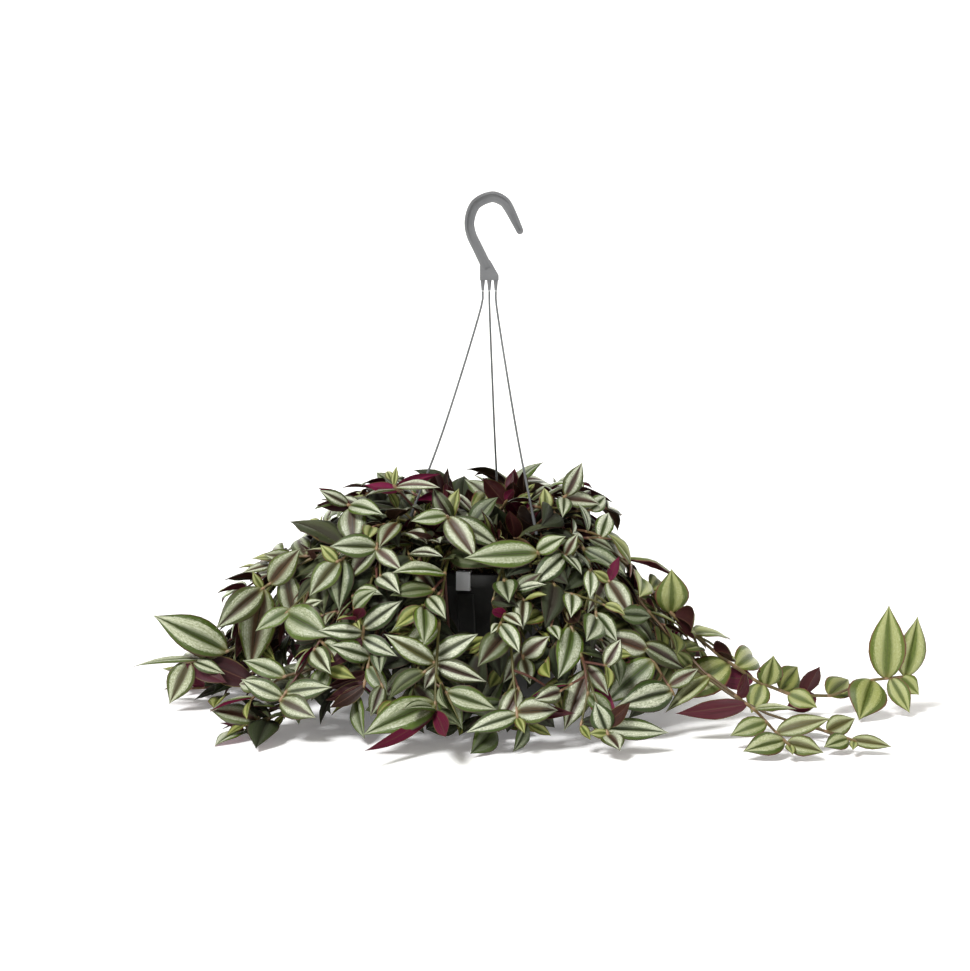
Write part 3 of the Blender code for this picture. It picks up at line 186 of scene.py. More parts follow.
# Leaves that these stems hold in a way of their own: (share of the stem, the way from the leaf's
# root to its tip, the way that it faces, length and width in mm, bend in degrees)
POSED_LEAVES = {
    "trailer_right_far": (
        (0.95, (1, 0, 58), (-0.1, -1, 0.1), 60, 30, 8),
        (0.99, (10, 0, 49), (0.2, -1, 0.1), 50, 26, 10),
        (0.98, (14, -3, -13), (0.1, -1, 0.3), 21, 17, 20),
        (0.96, (12, -12, -24), (0, -1, 0.35), 32, 18, 15),
        (0.92, (-20, -8, -31), (-0.2, -1, 0.3), 42, 33, 16),
        (0.8, (-24, -4, -10), (0.1, 1, -0.4), 28, 18, 14),
        (0.74, (22, -10, -9), (0.1, -1, 0.5), 26, 19, 18),
        (0.69, (4, -4, 22), (0.1, -1, 0.3), 26, 22, 16),
        (0.68, (-8, -8, -18), (-0.1, -1, 0.4), 26, 20, 18),
        (0.66, (-30, -4, 3), (0, 1, -0.3), 34, 19, 14),
        (0.6, (-42, -9, -26), (-0.2, -0.9, 0.5), 54, 33, 18),
        (0.45, (0, -3, 35), (0.2, -1, 0.2), 36, 28, 14)),
    "trailer_right_front": (
        (0.97, (-28, -9, -5), (0, -0.75, 0.65), 34, 21, 14),
        (0.98, (24, -8, -5), (0, -0.75, 0.65), 28, 18, 14),
        (0.99, (1, -12, -4), (0, -0.5, 0.85), 14, 8, 8),
        (0.88, (-25, -5, -8), (-0.1, -0.75, 0.65), 30, 18, 18),
        (0.93, (40, 2, 10), (0, -0.7, 0.7), 42, 18, 22),
        (0.8, (-56, -6, -6), (0, 0.9, -0.6), 56, 17, 10),
        (0.68, (-36, -14, -26), (-0.2, -0.8, 0.6), 46, 15, 14)),
    "trailer_right_low": (
        (0.98, (29, -5, -4), (0, -0.75, 0.65), 30, 12, 12),
        (0.97, (-18, -8, -4), (0, -0.75, 0.65), 22, 16, 14),
        (0.99, (-3, -12, -4), (0, -0.5, 0.85), 13, 7, 8),
        (0.9, (20, 2, 9), (0, -0.8, 0.6), 24, 18, 16)),
    "trailer_left": (
        (0.98, (-16, -4, -33), (-0.1, -1, 0.2), 38, 23, 12),
        (0.97, (28, -6, -10), (0.1, -0.8, 0.5), 29, 13, 20),
        (0.94, (-60, -2, -11), (0, -0.35, 1), 60, 16, 10),
        (0.93, (-46, 4, 12), (0.1, -1, 0.35), 50, 28, 20),
        (0.95, (54, -6, -22), (0, 1, -0.3), 56, 22, 16),
        (0.87, (-60, -4, 31), (0.1, -0.9, 0.5), 67, 31, 16)),
    "shoulder_left": (
        (0.985, (-11, -6, -67), (0.1, -1, 0.1), 68, 31, 10),
        (0.99, (-34, -10, -38), (-0.1, -1, 0.3), 52, 25, 14),
        (0.95, (24, -6, 28), (-0.1, -1, 0.3), 40, 23, 14),
        (0.86, (12, -4, -44), (-0.1, -1, 0.2), 46, 22, 14),
        (0.99, (-8, -3, 16), (-0.3, -1, 0.2), 17, 9, 12)),
    "spray_top_left": (
        (0.95, (-24, 2, -5), (-0.2, -0.3, 1), 28, 12, 30),
        (0.97, (34, -10, 1), (-0.1, -0.4, 1), 38, 14, 26),
        (0.99, (2, 2, 14), (-0.3, -1, 0.1), 16, 6, 10)),
    "spray_top_right": (
        (0.99, (12, 3, 24), (0.2, -1, 0.1), 30, 16, 14),
        (0.95, (28, 4, -4), (0.4, -0.8, 0.7), 32, 17, 30),
        (0.97, (-2, -24, -12), (0.2, -0.9, 0.8), 30, 14, 34)),
    "spray_left_high": (
        (0.96, (2, -22, -28), (-0.4, -1, 0.5), 38, 26, 16),
        (0.98, (26, -22, -4), (-0.2, -0.9, 0.8), 38, 18, 26),
        (0.99, (-22, -4, 12), (-0.5, -0.8, 0.5), 27, 12, 34)),
    "spray_front_top": (
        (0.97, (22, -22, -30), (0, -1, 0.5), 44, 22, 22),
        (0.99, (-27, -6, -3), (-0.2, -1, 0.6), 29, 14, 20),
        (0.93, (40, -18, -16), (0.1, -1, 0.8), 48, 22, 34)),
    "spray_front_broad": (
        (0.97, (-58, -8, -3), (0, -1, 0.5), 58, 24, 16),
        (0.95, (22, 0, 12), (0.4, -1, 0.7), 26, 16, 24)),
    "spray_left_dark": (
        (0.98, (-35, 4, -4), (-0.4, -1, 0.5), 37, 21, 26),
        (0.96, (-18, -14, -26), (-0.3, -1, 0.4), 36, 20, 24),
        (0.99, (18, -14, -16), (-0.2, -1, 0.5), 30, 14, 24)),
    "spray_left_pair": (
        (0.98, (-22, -12, -26), (-0.4, -1, 0.3), 36, 23, 16),
        (0.95, (-2, -18, -38), (-0.3, -1, 0.3), 43, 23, 18),
        (0.99, (-12, 2, 12), (-0.5, -1, 0.6), 19, 11, 24)),
    "spray_right_pair": (
        (0.98, (-27, -18, -22), (0.1, -1, 0.4), 40, 19, 20),
        (0.96, (-4, -14, -22), (0.4, -1, 0.4), 30, 20, 22),
        (0.99, (17, -4, 6), (0.6, -1, 0.5), 20, 11, 20)),
    "spray_right_middle": (
        (0.98, (17, -12, -28), (0.5, -1, 0.3), 36, 21, 18),
        (0.96, (-14, -18, -22), (0.3, -1, 0.4), 34, 17, 24),
        (0.99, (-13, -4, 8), (0.3, -1, 0.5), 17, 10, 16)),
    "spray_left_green": (
        (0.98, (36, -24, -15), (-0.3, -1, 0.3), 46, 30, 18),
        (0.96, (-24, -8, -20), (-0.5, -1, 0.4), 32, 18, 20)),
    "spray_right_large": (
        (0.98, (-36, -22, -30), (0.1, -1, 0.4), 50, 27, 14),
        (0.96, (16, -8, -20), (0.4, -1, 0.3), 28, 16, 20)),
    "spray_left_middle": (
        (0.97, (-35, 2, 2), (-0.3, -1, 0.3), 35, 15, 16),
        (0.99, (27, -12, -12), (-0.1, -1, 0.3), 32, 15, 16),
        (0.95, (30, -4, 22), (-0.1, -1, 0.3), 38, 18, 20)),
    "spray_centre_right": (
        (0.98, (20, -4, 16), (0.2, -1, 0.3), 26, 18, 16),
        (0.99, (5, -12, -17), (0.1, -1, 0.4), 22, 14, 16),
        (0.96, (-16, -12, -18), (0, -1, 0.4), 28, 15, 20)),
    "spray_centre_left": (
        (0.97, (-37, -2, 22), (-0.1, -1, 0.3), 44, 18, 16),
        (0.98, (38, -10, -11), (0, -1, 0.4), 42, 17, 16),
        (0.95, (35, -6, 18), (0, -1, 0.3), 40, 18, 20),
        (0.99, (-9, -12, -16), (-0.1, -1, 0.3), 22, 11, 16)),
    "spray_right_low": (
        (0.98, (-18, -26, -40), (0.2, -1, 0.5), 52, 23, 16),
        (0.96, (17, -14, -22), (0.3, -1, 0.3), 30, 15, 22)),
    "spray_front_left": (
        (0.96, (-54, -20, -20), (-0.2, -1, 0.7), 60, 30, 20),
        (0.98, (-28, -26, -12), (-0.1, -0.9, 0.8), 38, 15, 34),
        (0.985, (-36, -58, -27), (-0.2, 0.8, -0.9), 74, 15, 8),
        (0.99, (18, -14, -6), (0, -1, 0.6), 24, 13, 20)),
    "spray_front_middle": (
        (0.97, (31, -2, 2), (0.1, -1, 0.5), 31, 22, 16),
        (0.98, (-38, -14, -10), (0, -1, 0.6), 42, 17, 20),
        (0.96, (44, -8, -3), (0, 0.9, -0.6), 44, 12, 10),
        (0.99, (5, -15, -8), (0.1, -1, 0.4), 18, 8, 16)),
    "spray_front_right": (
        (0.97, (46, 4, -4), (0.2, -0.9, 0.6), 48, 18, 16),
        (0.99, (7, -20, -6), (0.1, -0.9, 0.7), 24, 18, 18),
        (0.98, (-8, 2, 20), (0, -1, 0.3), 24, 19, 14),
        (0.96, (14, -4, 22), (0, 0.9, -0.5), 28, 14, 14),
        (0.985, (-15, -5, 1), (0, -1, 0.3), 15, 9, 14)),
    "spray_low_left": (
        (0.98, (-30, -10, -12), (0, 0.9, -0.5), 34, 12, 40),
        (0.95, (-32, -6, -8), (0, 0.9, -0.4), 36, 12, 36),
        (0.9, (-28, -14, 12), (-0.2, -1, 0.5), 36, 18, 20),
        (0.93, (16, -16, -20), (0.1, -1, 0.4), 30, 15, 22)),
    "spray_side_right": (
        (0.98, (-44, -28, -6), (0.1, -1, 0.6), 54, 26, 20),
        (0.96, (20, 6, 10), (0.4, -1, 0.5), 28, 14, 24),
        (0.86, (-36, -12, -30), (-0.1, -1, 0.3), 52, 26, 18),
        (0.82, (-34, -8, 12), (-0.1, -1, 0.4), 40, 22, 16),
        (0.8, (26, -10, -28), (0.2, -1, 0.3), 40, 22, 16)),
    "spray_left_low": (
        (0.99, (28, -16, -10), (-0.2, -1, 0.5), 34, 20, 16),
        (0.96, (36, -10, 6), (-0.2, -1, 0.5), 38, 18, 20),
        (0.98, (-31, 8, 12), (-0.4, -1, 0.4), 36, 17, 24)),
}


def polar(azimuth, radius, height):
    angle = math.radians(azimuth)
    return Vector((radius * math.cos(angle), radius * math.sin(angle), height))


def stretch(azimuth, factors):
    """A tier's stretch at an azimuth, between its factors to the right, back, left and front."""
    right, back, left, front = factors
    across, along_y = math.cos(math.radians(azimuth)), math.sin(math.radians(azimuth))
    return (right if across > 0 else left) * across**2 + (back if along_y > 0 else front) * along_y**2


def smooth_path(points, count):
    """`count` points, evenly spaced, on a smooth curve through `points`."""
    ends = [2 * points[0] - points[1], *points, 2 * points[-1] - points[-2]]
    fine = []
    steps = 12
    for a, b, c, d in zip(ends, ends[1:], ends[2:], ends[3:]):
        for step in range(steps):
            t = step / steps
            fine.append(0.5 * (2 * b + (c - a) * t + (2 * a - 5 * b + 4 * c - d) * t**2
                               + (3 * b - a - 3 * c + d) * t**3))
    fine.append(points[-1].copy())
    lengths = [0.0]
    for a, b in zip(fine, fine[1:]):
        lengths.append(lengths[-1] + (b - a).length)
    path, i = [], 0
    for k in range(count):
        goal = lengths[-1] * k / (count - 1)
        while i < len(fine) - 2 and lengths[i + 1] < goal:
            i += 1
        share = (goal - lengths[i]) / max(lengths[i + 1] - lengths[i], 1e-9)
        path.append(fine[i].lerp(fine[i + 1], min(1.0, share)))
    return path


def path_length(path):
    return sum((b - a).length for a, b in zip(path, path[1:]))


def along(path, share):
    """(point, tangent) at a share of an evenly spaced path's length."""
    x = max(0.0, min(1.0, share)) * (len(path) - 1)
    i = min(int(x), len(path) - 2)
    tangent = path[min(i + 2, len(path) - 1)] - path[max(i - 1, 0)]
    return path[i].lerp(path[i + 1], x - i), tangent.normalized()


def strip_faces(rows, sides):
    """Quads between rows of points that each go once round."""
    faces = []
    for i in range(rows - 1):
        for k in range(sides):
            a, b = i * sides + k, i * sides + (k + 1) % sides
            faces.append((a, b, b + sides, a + sides))
    return faces


def closed_faces(rows, sides):
    """The same quads, with a face that closes each end."""
    last = (rows - 1) * sides
    return strip_faces(rows, sides) + [tuple(reversed(range(sides))), tuple(range(last, last + sides))]


def tube(path, radii, sides):
    """(points, faces) of a closed tube along a path."""
    points = []
    for i, centre in enumerate(path):
        _, tangent = along(path, i / (len(path) - 1))
        side = tangent.cross(UP if abs(tangent.z) < 0.9 else Vector((1, 0, 0))).normalized()
        up = side.cross(tangent)
        for k in range(sides):
            angle = 2 * math.pi * k / sides
            points.append(centre + radii[i] * (math.cos(angle) * side + math.sin(angle) * up))
    return points, closed_faces(len(path), sides)


def turned(profile, sides):
    """(points, faces) of the open surface that a profile of (radius, height) sweeps round +Z."""
    points = [polar(360 * k / sides, r, z) for r, z in profile for k in range(sides)]
    return points, strip_faces(len(profile), sides)


def too_low(points):
    """True where a point is nearer to the floor than a leaf or stem may be."""
    return min(p.z for p in points) < FLOOR_CLEARANCE


class Crowd:
    """What stands already, as trees of faces that a new shape is tested against.

    The members are filed by the cells of a coarse grid that their boxes reach into.
    """

    def __init__(self):
        self.cells = {}

    @staticmethod
    def reached(points):
        low, high = ([math.floor(end(p[i] for p in points) / GRID) for i in range(3)]
                     for end in (min, max))
        return itertools.product(*(range(a, b + 1) for a, b in zip(low, high)))

    def add(self, shape, owner):
        member = (BVHTree.FromPolygons(*shape), owner)
        for cell in self.reached(shape[0]):
            self.cells.setdefault(cell, []).append(member)

    def hits(self, shape, ignored=()):
        """True where the shape crosses a member whose owner isn't ignored."""
        tree, tried = BVHTree.FromPolygons(*shape), set()
        for cell in self.reached(shape[0]):
            for other, owner in self.cells.get(cell, ()):
                if owner not in ignored and id(other) not in tried:
                    tried.add(id(other))
                    if tree.overlap(other):
                        return True
        return False


class Leaf:
    """A blade on its own axes: it starts at `root`, in the stem, and runs along `ahead`."""

    def __init__(self, root, ahead, normal, length, width, bend, fold, tone, young=False):
        self.root, self.ahead, self.normal = root, ahead, normal
        self.length, self.width = length, width
        self.bend, self.fold, self.tone, self.young = bend, fold, tone, young

    @staticmethod
    def outline(t):
        """Half of the width at a share of the length, as a share of the full half width."""
        return math.sin(math.pi * t**0.77) ** (0.74 + 0.5 * t) if 0 < t < 1 else 0.0

    def frame(self, t):
        """(point on the midrib, side, normal) at a share of the length."""
        across = self.normal.cross(self.ahead)
        turn = self.bend * t
        if abs(self.bend) > 1e-3:
            run = self.length * math.sin(turn) / self.bend
            drop = self.length * (1 - math.cos(turn)) / self.bend
        else:
            run, drop = self.length * t, 0.0
        point = self.root + run * self.ahead - drop * self.normal
        normal = math.cos(turn) * self.normal + math.sin(turn) * self.ahead
        return point, across, normal

    def point(self, t, v):
        """A point of the middle surface: v runs from -1 at one edge to 1 at the other."""
        rib, across, normal = self.frame(t)
        half = 0.5 * self.width * self.outline(t)
        return rib + v * half * across + abs(v) ** 1.3 * half * self.fold * normal

    def blade(self, extra=0.0):
        """(points, faces) of a closed blade: two or three keeled sections, pointed ends.

        `extra` is what it grows on all sides; a grown blade starts at the side of the stem.
        """
        points = [self.frame(0.04)[0] if extra else self.root - 1.0 * MM * self.ahead]
        faces = []
        stations = BLADE_STATIONS if self.length > SMALL_LEAF else SMALL_BLADE_STATIONS
        for t in stations:
            _, across, normal = self.frame(t)
            lift = (0.35 * BLADE_THICKNESS + extra) * normal
            wide = 2.2 * extra * across
            points += [self.point(t, -1) + lift - wide, self.point(t, 1) + lift + wide,
                       self.point(t, 0) - (0.65 * BLADE_THICKNESS + 1.4 * extra) * normal]
        points.append(self.frame(1.0 + 2 * extra / self.length)[0])
        last = len(points) - 1
        for k in range(3):
            after = (k + 1) % 3
            faces.append((0, 1 + after, 1 + k))
            for row in range(len(stations) - 1):
                a, b = 1 + 3 * row + k, 1 + 3 * row + after
                faces.append((a, b, b + 3, a + 3))
            faces.append((last - 3 + k, last - 3 + after, last))
        return points, faces


class Stem:
    """A stem's path and leaves; the length of its leaves and their spacing are in mm."""

    def __init__(self, name, path, leaf_length, spacing, bare):
        self.name, self.path, self.leaf_length = name, path, leaf_length
        self.spacing, self.bare = spacing, bare
        self.leaves = []

    def radius(self, share):
        return STEM_RADIUS + (STEM_TIP_RADIUS - STEM_RADIUS) * share

    def shape(self, sides, extra=0.0, start=0.0):
        last = len(self.path) - 1
        shares = [start] + [i / last for i in range(last + 1) if i / last > start + 0.02]
        return tube([along(self.path, share)[0] for share in shares],
                    [self.radius(share) + extra for share in shares], sides)


def fixed_obstacles():
    """The pot, the soil and the hanger, a little larger than life."""
    crowd = Crowd()
    more = OBSTACLE_MARGIN
    profile = ((0.1 * MM, SOIL_TOP + more), (68 * MM, SOIL_TOP + more), (69 * MM, POT_HEIGHT + more),
               (RIM_RADIUS + more, POT_HEIGHT + more),
               (RIM_RADIUS + more, POT_HEIGHT - SKIRT_DROP - more),
               (NECK_RADIUS + more, POT_HEIGHT - SKIRT_DROP - more), (FOOT_RADIUS + more, 0.0))
    crowd.add(turned(profile, 28), "pot")
    for name in STRAND_AZIMUTHS:
        path = strand_path(name)
        crowd.add(tube(path, [TAIL_RADIUS + more] * len(path), 6), "strand")
    for azimuth in (*STRAND_AZIMUTHS.values(), SPARE_CLIP_AZIMUTH):
        low = polar(azimuth, RIM_RADIUS - 6 * MM, POT_HEIGHT - CLIP_HEIGHT)
        high = polar(azimuth, RIM_RADIUS + 1 * MM, POT_HEIGHT + 3 * MM)
        crowd.add(tube([low, high], [CLIP_WIDTH * 0.62] * 2, 6), "clip")
    return crowd


def hides_the_wall(points):
    """True where a point hangs before the gap in the leaves at the front of the pot."""
    (left, right), (low, high) = WALL_GAP
    for p in points:
        seen = p.z + SIGHT_SLOPE * (p.y + RIM_RADIUS)
        if (p.y < 0 and math.hypot(p.x, p.y) > RIM_RADIUS
                and left < p.x < right and low < seen < high):
            return True
    return False


def share_above(path, height):
    """The share of a path, in hundredths, at which it first is above a height."""
    return next(k / 100 for k in range(100) if along(path, k / 100)[0].z > height)


def rooted(path):
    """The path with its second point just above the soil, so that it leaves its hole straight."""
    if path[1].z < SOIL_TOP + 5 * MM:
        path[1] = along(path, share_above(path, SOIL_TOP + 5 * MM))[0]
    return path


class Bed:
    """The spots in the soil that are taken by roots."""

    def __init__(self):
        self.taken = []

    def spot(self, azimuth, radius):
        """The free spot nearest to the one asked for, as (azimuth, radius)."""
        nearest, farthest = BED_RADII
        tries = sorted(((abs(turn) * radius / 60 + abs(shift)), turn, shift)
                       for turn in BED_TURNS for shift in BED_SHIFTS)
        for _, turn, shift in tries:
            if not nearest <= radius + shift * MM <= farthest:
                continue
            point = polar(azimuth + turn, radius + shift * MM, 0)
            if all((point - other).length > ROOT_SPACING for other in self.taken):
                self.taken.append(point)
                return azimuth + turn, radius + shift * MM
        raise ValueError("the soil is full")


def root_points(root):
    """The lowest end of a stem, and its first point clear of the soil."""
    azimuth, radius = root
    return [polar(azimuth, radius, ROOT_END), polar(azimuth, radius + ROOT_LEAN, RISE_HEIGHT)]


def tier_stem(tier, number, bed):
    """The stem of a tier with that number, and the routes it may take."""
    name, azimuths, profile, factors, leaf_length, spacing, bare = tier
    rng = random.Random(f"{name}{number}")
    azimuth = azimuths[number]
    root = bed.spot(azimuth, profile[0][0] * MM)
    reach = stretch(azimuth, factors) * rng.uniform(0.92, 1.08)
    routes = []
    for attempt in range(ATTEMPTS):
        swing = rng.uniform(-9, 9)
        lift = rng.uniform(-5, 7)
        aside = rng.uniform(-1, 1) * attempt
        points = [polar(*root, ROOT_END)]
        for i, (radius, height) in enumerate(profile[1:], 1):
            if radius > INNER:
                radius = INNER + (radius - INNER) * (reach if profile[0][0] < INNER or i > 2 else 1)
            share = max(0, i - 1) / (len(profile) - 2)
            ease = share * (1 - share) * 4 if profile[-1][1] < 30 else share
            if i > 1:
                height += lift * ease
            points.append(polar(azimuth + aside * min(1, i / 2) + swing * share**1.5,
                                radius * MM, height * MM))
        points[1] = polar(root[0], root[1] + ROOT_LEAN, points[1].z)
        routes.append(smooth_path(points, PATH_POINTS))
    return Stem(f"{name}_stem_{number + 1:02d}", routes[0], leaf_length, spacing, bare), routes


def trailer_stem(trailer, bed):
    """A stem along given points, and the routes it may take."""
    name, azimuth, radius, points, leaf_length, spacing, bare = trailer
    rng = random.Random(name)
    start = root_points(bed.spot(azimuth, radius * MM))
    routes = []
    for attempt in range(ATTEMPTS):
        shift = Vector([rng.uniform(-1, 1) for _ in range(3)]) * min(attempt, 6) * 0.8 * MM
        shift.z = abs(shift.z)
        routes.append(smooth_path(start + [Vector(p) * MM + shift for p in points], PATH_POINTS + 4))
    return Stem(name, routes[0], leaf_length, spacing, bare), routes


def spray_stem(spray, bed):
    """A stem that ends at a given point, and the routes it may take.

    A high point is reached from within the mound and a low one over the rim.
    """
    name, end = spray
    rng = random.Random(name)
    end = Vector(end) * MM
    reach = math.hypot(end.x, end.y)
    azimuth = math.degrees(math.atan2(end.y, end.x))
    high, far = end.z > HIGH_SPRAY, reach >= FAR_SPRAY
    root = bed.spot(azimuth, (24 if high else 40 if end.z > 100 * MM else 57) * MM)
    crest = RIM_RADIUS + 3 * MM if far else max(RIM_RADIUS + 2 * MM, 0.62 * reach)
    routes = []
    for attempt in range(ATTEMPTS):
        slack = min(attempt, 20)
        turn = rng.uniform(-1, 1) * slack
        lift = rng.uniform(-0.4, 1) * slack * 0.6 * MM
        way = []
        if high:
            way.append((turn, 0.5 * (root[1] + reach), 0.45 * (end.z + 140 * MM) + 8 * MM))
        else:
            way.append((turn, 0.5 * (root[1] + crest), 139 * MM))
            way.append((turn, crest, max(143 * MM, end.z + 8 * MM)))
            if far:
                for out, down in ((0.42, 0.7), (0.8, 0.24)):
                    way.append((turn * (1 - out), crest + out * (reach - crest),
                                end.z + down * (144 * MM - end.z)))
        points = [polar(azimuth + aside, radius, height + lift) for aside, radius, height in way]
        routes.append(smooth_path(root_points(root) + points + [end], PATH_POINTS))
    return Stem(name, routes[0], *SPRAY_LEAVES), routes


def place_stem(stem, routes, crowd):
    """Takes the first route on which the stem is clear of everything, and says whether it found one."""
    for path in routes:
        stem.path = rooted(path)
        shape = stem.shape(6, 2.5 * CLEARANCE, share_above(path, SOIL_TOP + 4 * MM))
        if too_low(shape[0]) or crowd.hits(shape):
            continue
        if stem.bare > 0.5 or not hides_the_wall(shape[0]):
            crowd.add(shape, stem.name + " body")
            return True
    return False


def leaf_axes(stem, share, side, yaw, pitch, roll):
    """(root, ahead, normal) of a leaf on a stem: yaw from the stem's line, pitch off its back."""
    root, tangent = along(stem.path, share)
    outward = Vector((root.x, root.y, 0)).normalized()
    back = UP + 0.85 * outward
    back = (back - back.dot(tangent) * tangent).normalized()
    beside = tangent.cross(back) * side
    flat = math.cos(yaw) * tangent + math.sin(yaw) * beside
    ahead = math.cos(pitch) * flat + math.sin(pitch) * back
    normal = math.cos(pitch) * back - math.sin(pitch) * flat
    normal = Matrix.Rotation(roll, 3, ahead) @ normal
    return root, ahead.normalized(), normal.normalized()


def take_leaf(stem, share, tries, crowd, before_wall=False):
    """Gives the stem the first leaf tried that is clear of all that stands, if there is one."""
    for leaf in tries:
        shape = leaf.blade(CLEARANCE)
        if too_low(shape[0]) or not before_wall and hides_the_wall(shape[0]):
            continue
        if not crowd.hits(shape, (stem.name + " body",)):
            crowd.add(shape, stem.name)
            leaf.share = share
            stem.leaves.append(leaf)
            return


def grown_leaves(stem, share, side, rng, size=1.0, yaw=50, pitch=18, young=False):
    """Leaves to try on this side of the stem, each looser than the last, and at length smaller."""
    low = along(stem.path, share)[0].z < 34 * MM
    length = stem.leaf_length * MM * size * rng.uniform(0.8, 1.22)
    ratio = rng.uniform(0.46, 0.6)
    bend = math.radians(rng.uniform(2, 22) if low else rng.uniform(12, 58))
    fold = rng.uniform(0.12, 0.42) + (0.25 if young else 0)
    tone = rng.random()
    for attempt in range(ATTEMPTS):
        slack = 1 + 0.08 * attempt
        shrink = 1 if attempt < 20 else 0.84 if attempt < 30 else 0.68
        axes = leaf_axes(stem, share, side,
                         math.radians(yaw + rng.gauss(0, 8) * slack),
                         math.radians(pitch + rng.gauss(0, 7) * slack + (attempt if low else 0)),
                         math.radians(rng.gauss(0, 13) * slack))
        yield Leaf(*axes, length * shrink, length * shrink * ratio, bend, fold, tone, young)


def posed_leaves(stem, pose, rng):
    """Leaves to try that point and face a given way, each nudged further aside."""
    share, ahead, facing, length, width, bend = pose
    root = along(stem.path, share)[0]
    for attempt in range(ATTEMPTS):
        nudge = Vector([rng.gauss(0, 0.012 * attempt) for _ in range(3)])
        chord = (Vector(ahead).normalized() + nudge).normalized()
        normal = Vector(facing) + nudge
        normal = (normal - normal.dot(chord) * chord).normalized()
        half = math.radians(0.5 * bend)
        way = math.cos(half) * chord + math.sin(half) * normal
        normal = math.cos(half) * normal - math.sin(half) * chord
        scale = 1 if attempt < 24 else 0.85
        yield Leaf(root, way, normal, length * scale * MM, width * scale * MM,
                   math.radians(bend), 0.16, 0.35 + 0.4 * rng.random(), length < 20)


def pose_leaves(stem, poses, seed, crowd=None):
    """Gives a stem the leaves that it holds in a way of its own; with no crowd, none gives way."""
    rng = random.Random(stem.name + seed)
    for pose in poses.get(stem.name, ()):
        take_leaf(stem, pose[0], posed_leaves(stem, pose, rng), crowd or Crowd(), before_wall=True)


def keep_clear_before(leaf, crowd):
    """Keeps other leaves from standing before this one, as seen from the front."""
    points, faces = leaf.blade()
    for step in range(1, VEIL_STEPS + 1):
        shift = step * VEIL_SPACING * VEIL_WAY
        crowd.add(([p + shift for p in points], faces), "view")


def leaf_stem(stem, crowd):
    """Gives a stem its leaves: alternate ones along it, then the cluster at its growing tip."""
    rng = random.Random(stem.name + " leaves")
    length = path_length(stem.path)
    count = max(2, round(length * (1 - stem.bare) / (stem.spacing * MM)) - 1)
    side = rng.choice((-1, 1))
    for k in range(count):
        share = stem.bare + (0.88 - stem.bare) * k / count
        take_leaf(stem, share, grown_leaves(stem, share, side, rng), crowd)
        side = -side
    if stem.name in POSED_LEAVES:
        return
    for share, size, yaw, pitch, turn in TIP_LEAVES:
        tries = grown_leaves(stem, share, side * turn, rng, size, yaw, pitch, young=size < 0.7)
        take_leaf(stem, share, tries, crowd)


def plan_plant():
    """(stems with their leaves, the crowd of all that stands)."""
    crowd = fixed_obstacles()
    bed = Bed()
    planned = [trailer_stem(trailer, bed) for trailer in TRAILERS]
    planned += [spray_stem(spray, bed) for spray in SPRAYS]
    planned += [tier_stem(tier, number, bed) for tier in TIERS for number in range(len(tier[1]))]
    stems = [stem for stem, routes in planned if place_stem(stem, routes, crowd)]
    for stem in stems:
        pose_leaves(stem, POSED_LEAVES, " poses", crowd)
    for leaf in itertools.chain(*(stem.leaves for stem in stems)):
        keep_clear_before(leaf, crowd)
    for stem in stems:
        leaf_stem(stem, crowd)
    return stems, crowd


# ------------------------------------------------------------------ side shoots
# Short leafy shoots from the stems' joints. They fill the mound and stay under its dome, whose
# profile is (distance from the axis, height) in mm.

DOME = ((0, 196), (70, 194), (106, 178), (128, 156), (152, 126), (186, 96), (214, 56), (232, 4))
DOME_STRETCH = (0.94, 1.0, 1.3, 0.9)  # to the right, back, left and front
SHOOT_SPACING = 13 * MM
FRONT_SHOOT_SPACING = 7 * MM
TRAILER_SHARE = 0.6  # of the shoots that another stem of its length has
SHOOT_TRIES = 8
SHOOT_STEPS = (0, 0.25, 0.5, 0.75, 1)
SHOOT_LEAF_SPACING = 16 * MM
SHOOT_TIP_LEAVES = ((0.93, 0.85, 44, 22, 1), (0.96, 0.7, 34, 28, -1), (0.99, 0.5, 8, 34, 1))

# The hanger's strands come down before the leaves: side shoots keep clear of the front of
# this share of each.
OPEN_STRANDS = {"left": 0.8, "back": 0.72, "right": 0.82}
STRAND_CLEARANCE = 6 * MM
FRONT = Vector((0.03, -0.993, 0.111))


def under_dome(points):
    """True where all of the points stay under the dome that bounds the mound."""
    for p in points:
        azimuth = math.degrees(math.atan2(p.y, p.x))
        reach = math.hypot(p.x, p.y) / stretch(azimuth, DOME_STRETCH) / MM
        if reach > DOME[-1][0]:
            return False
        for (near, high), (far, low) in zip(DOME, DOME[1:]):
            if reach <= far:
                if p.z > (high + (low - high) * (reach - near) / (far - near)) * MM:
                    return False
                break
    return True


def open_strand_points():
    """Points down the part of each strand that stays in the open."""
    return [along(strand_path(name, 40), 0.5 + (share - 0.5) * k / 9)[0]
            for name, share in OPEN_STRANDS.items() for k in range(10)]


def hides_a_strand(points):
    """True where a point is before the open part of a strand."""
    for q in OPEN_POINTS:
        for p in points:
            away = p - q
            ahead = away.dot(FRONT)
            if ahead > 0 and (away - ahead * FRONT).length < STRAND_CLEARANCE:
                return True
    return False


class Shoots:
    """What a side shoot's leaves are tested against: everything but their own stem and shoot."""

    def __init__(self, crowd, name):
        self.crowd, self.name = crowd, name
        self.own = (name + " body", name + " shoot")

    def hits(self, shape, _):
        return (self.crowd.hits(shape, self.own) or not under_dome(shape[0])
                or hides_a_strand(shape[0]))

    def add(self, shape, _):
        self.crowd.add(shape, self.name + " shoot leaf")


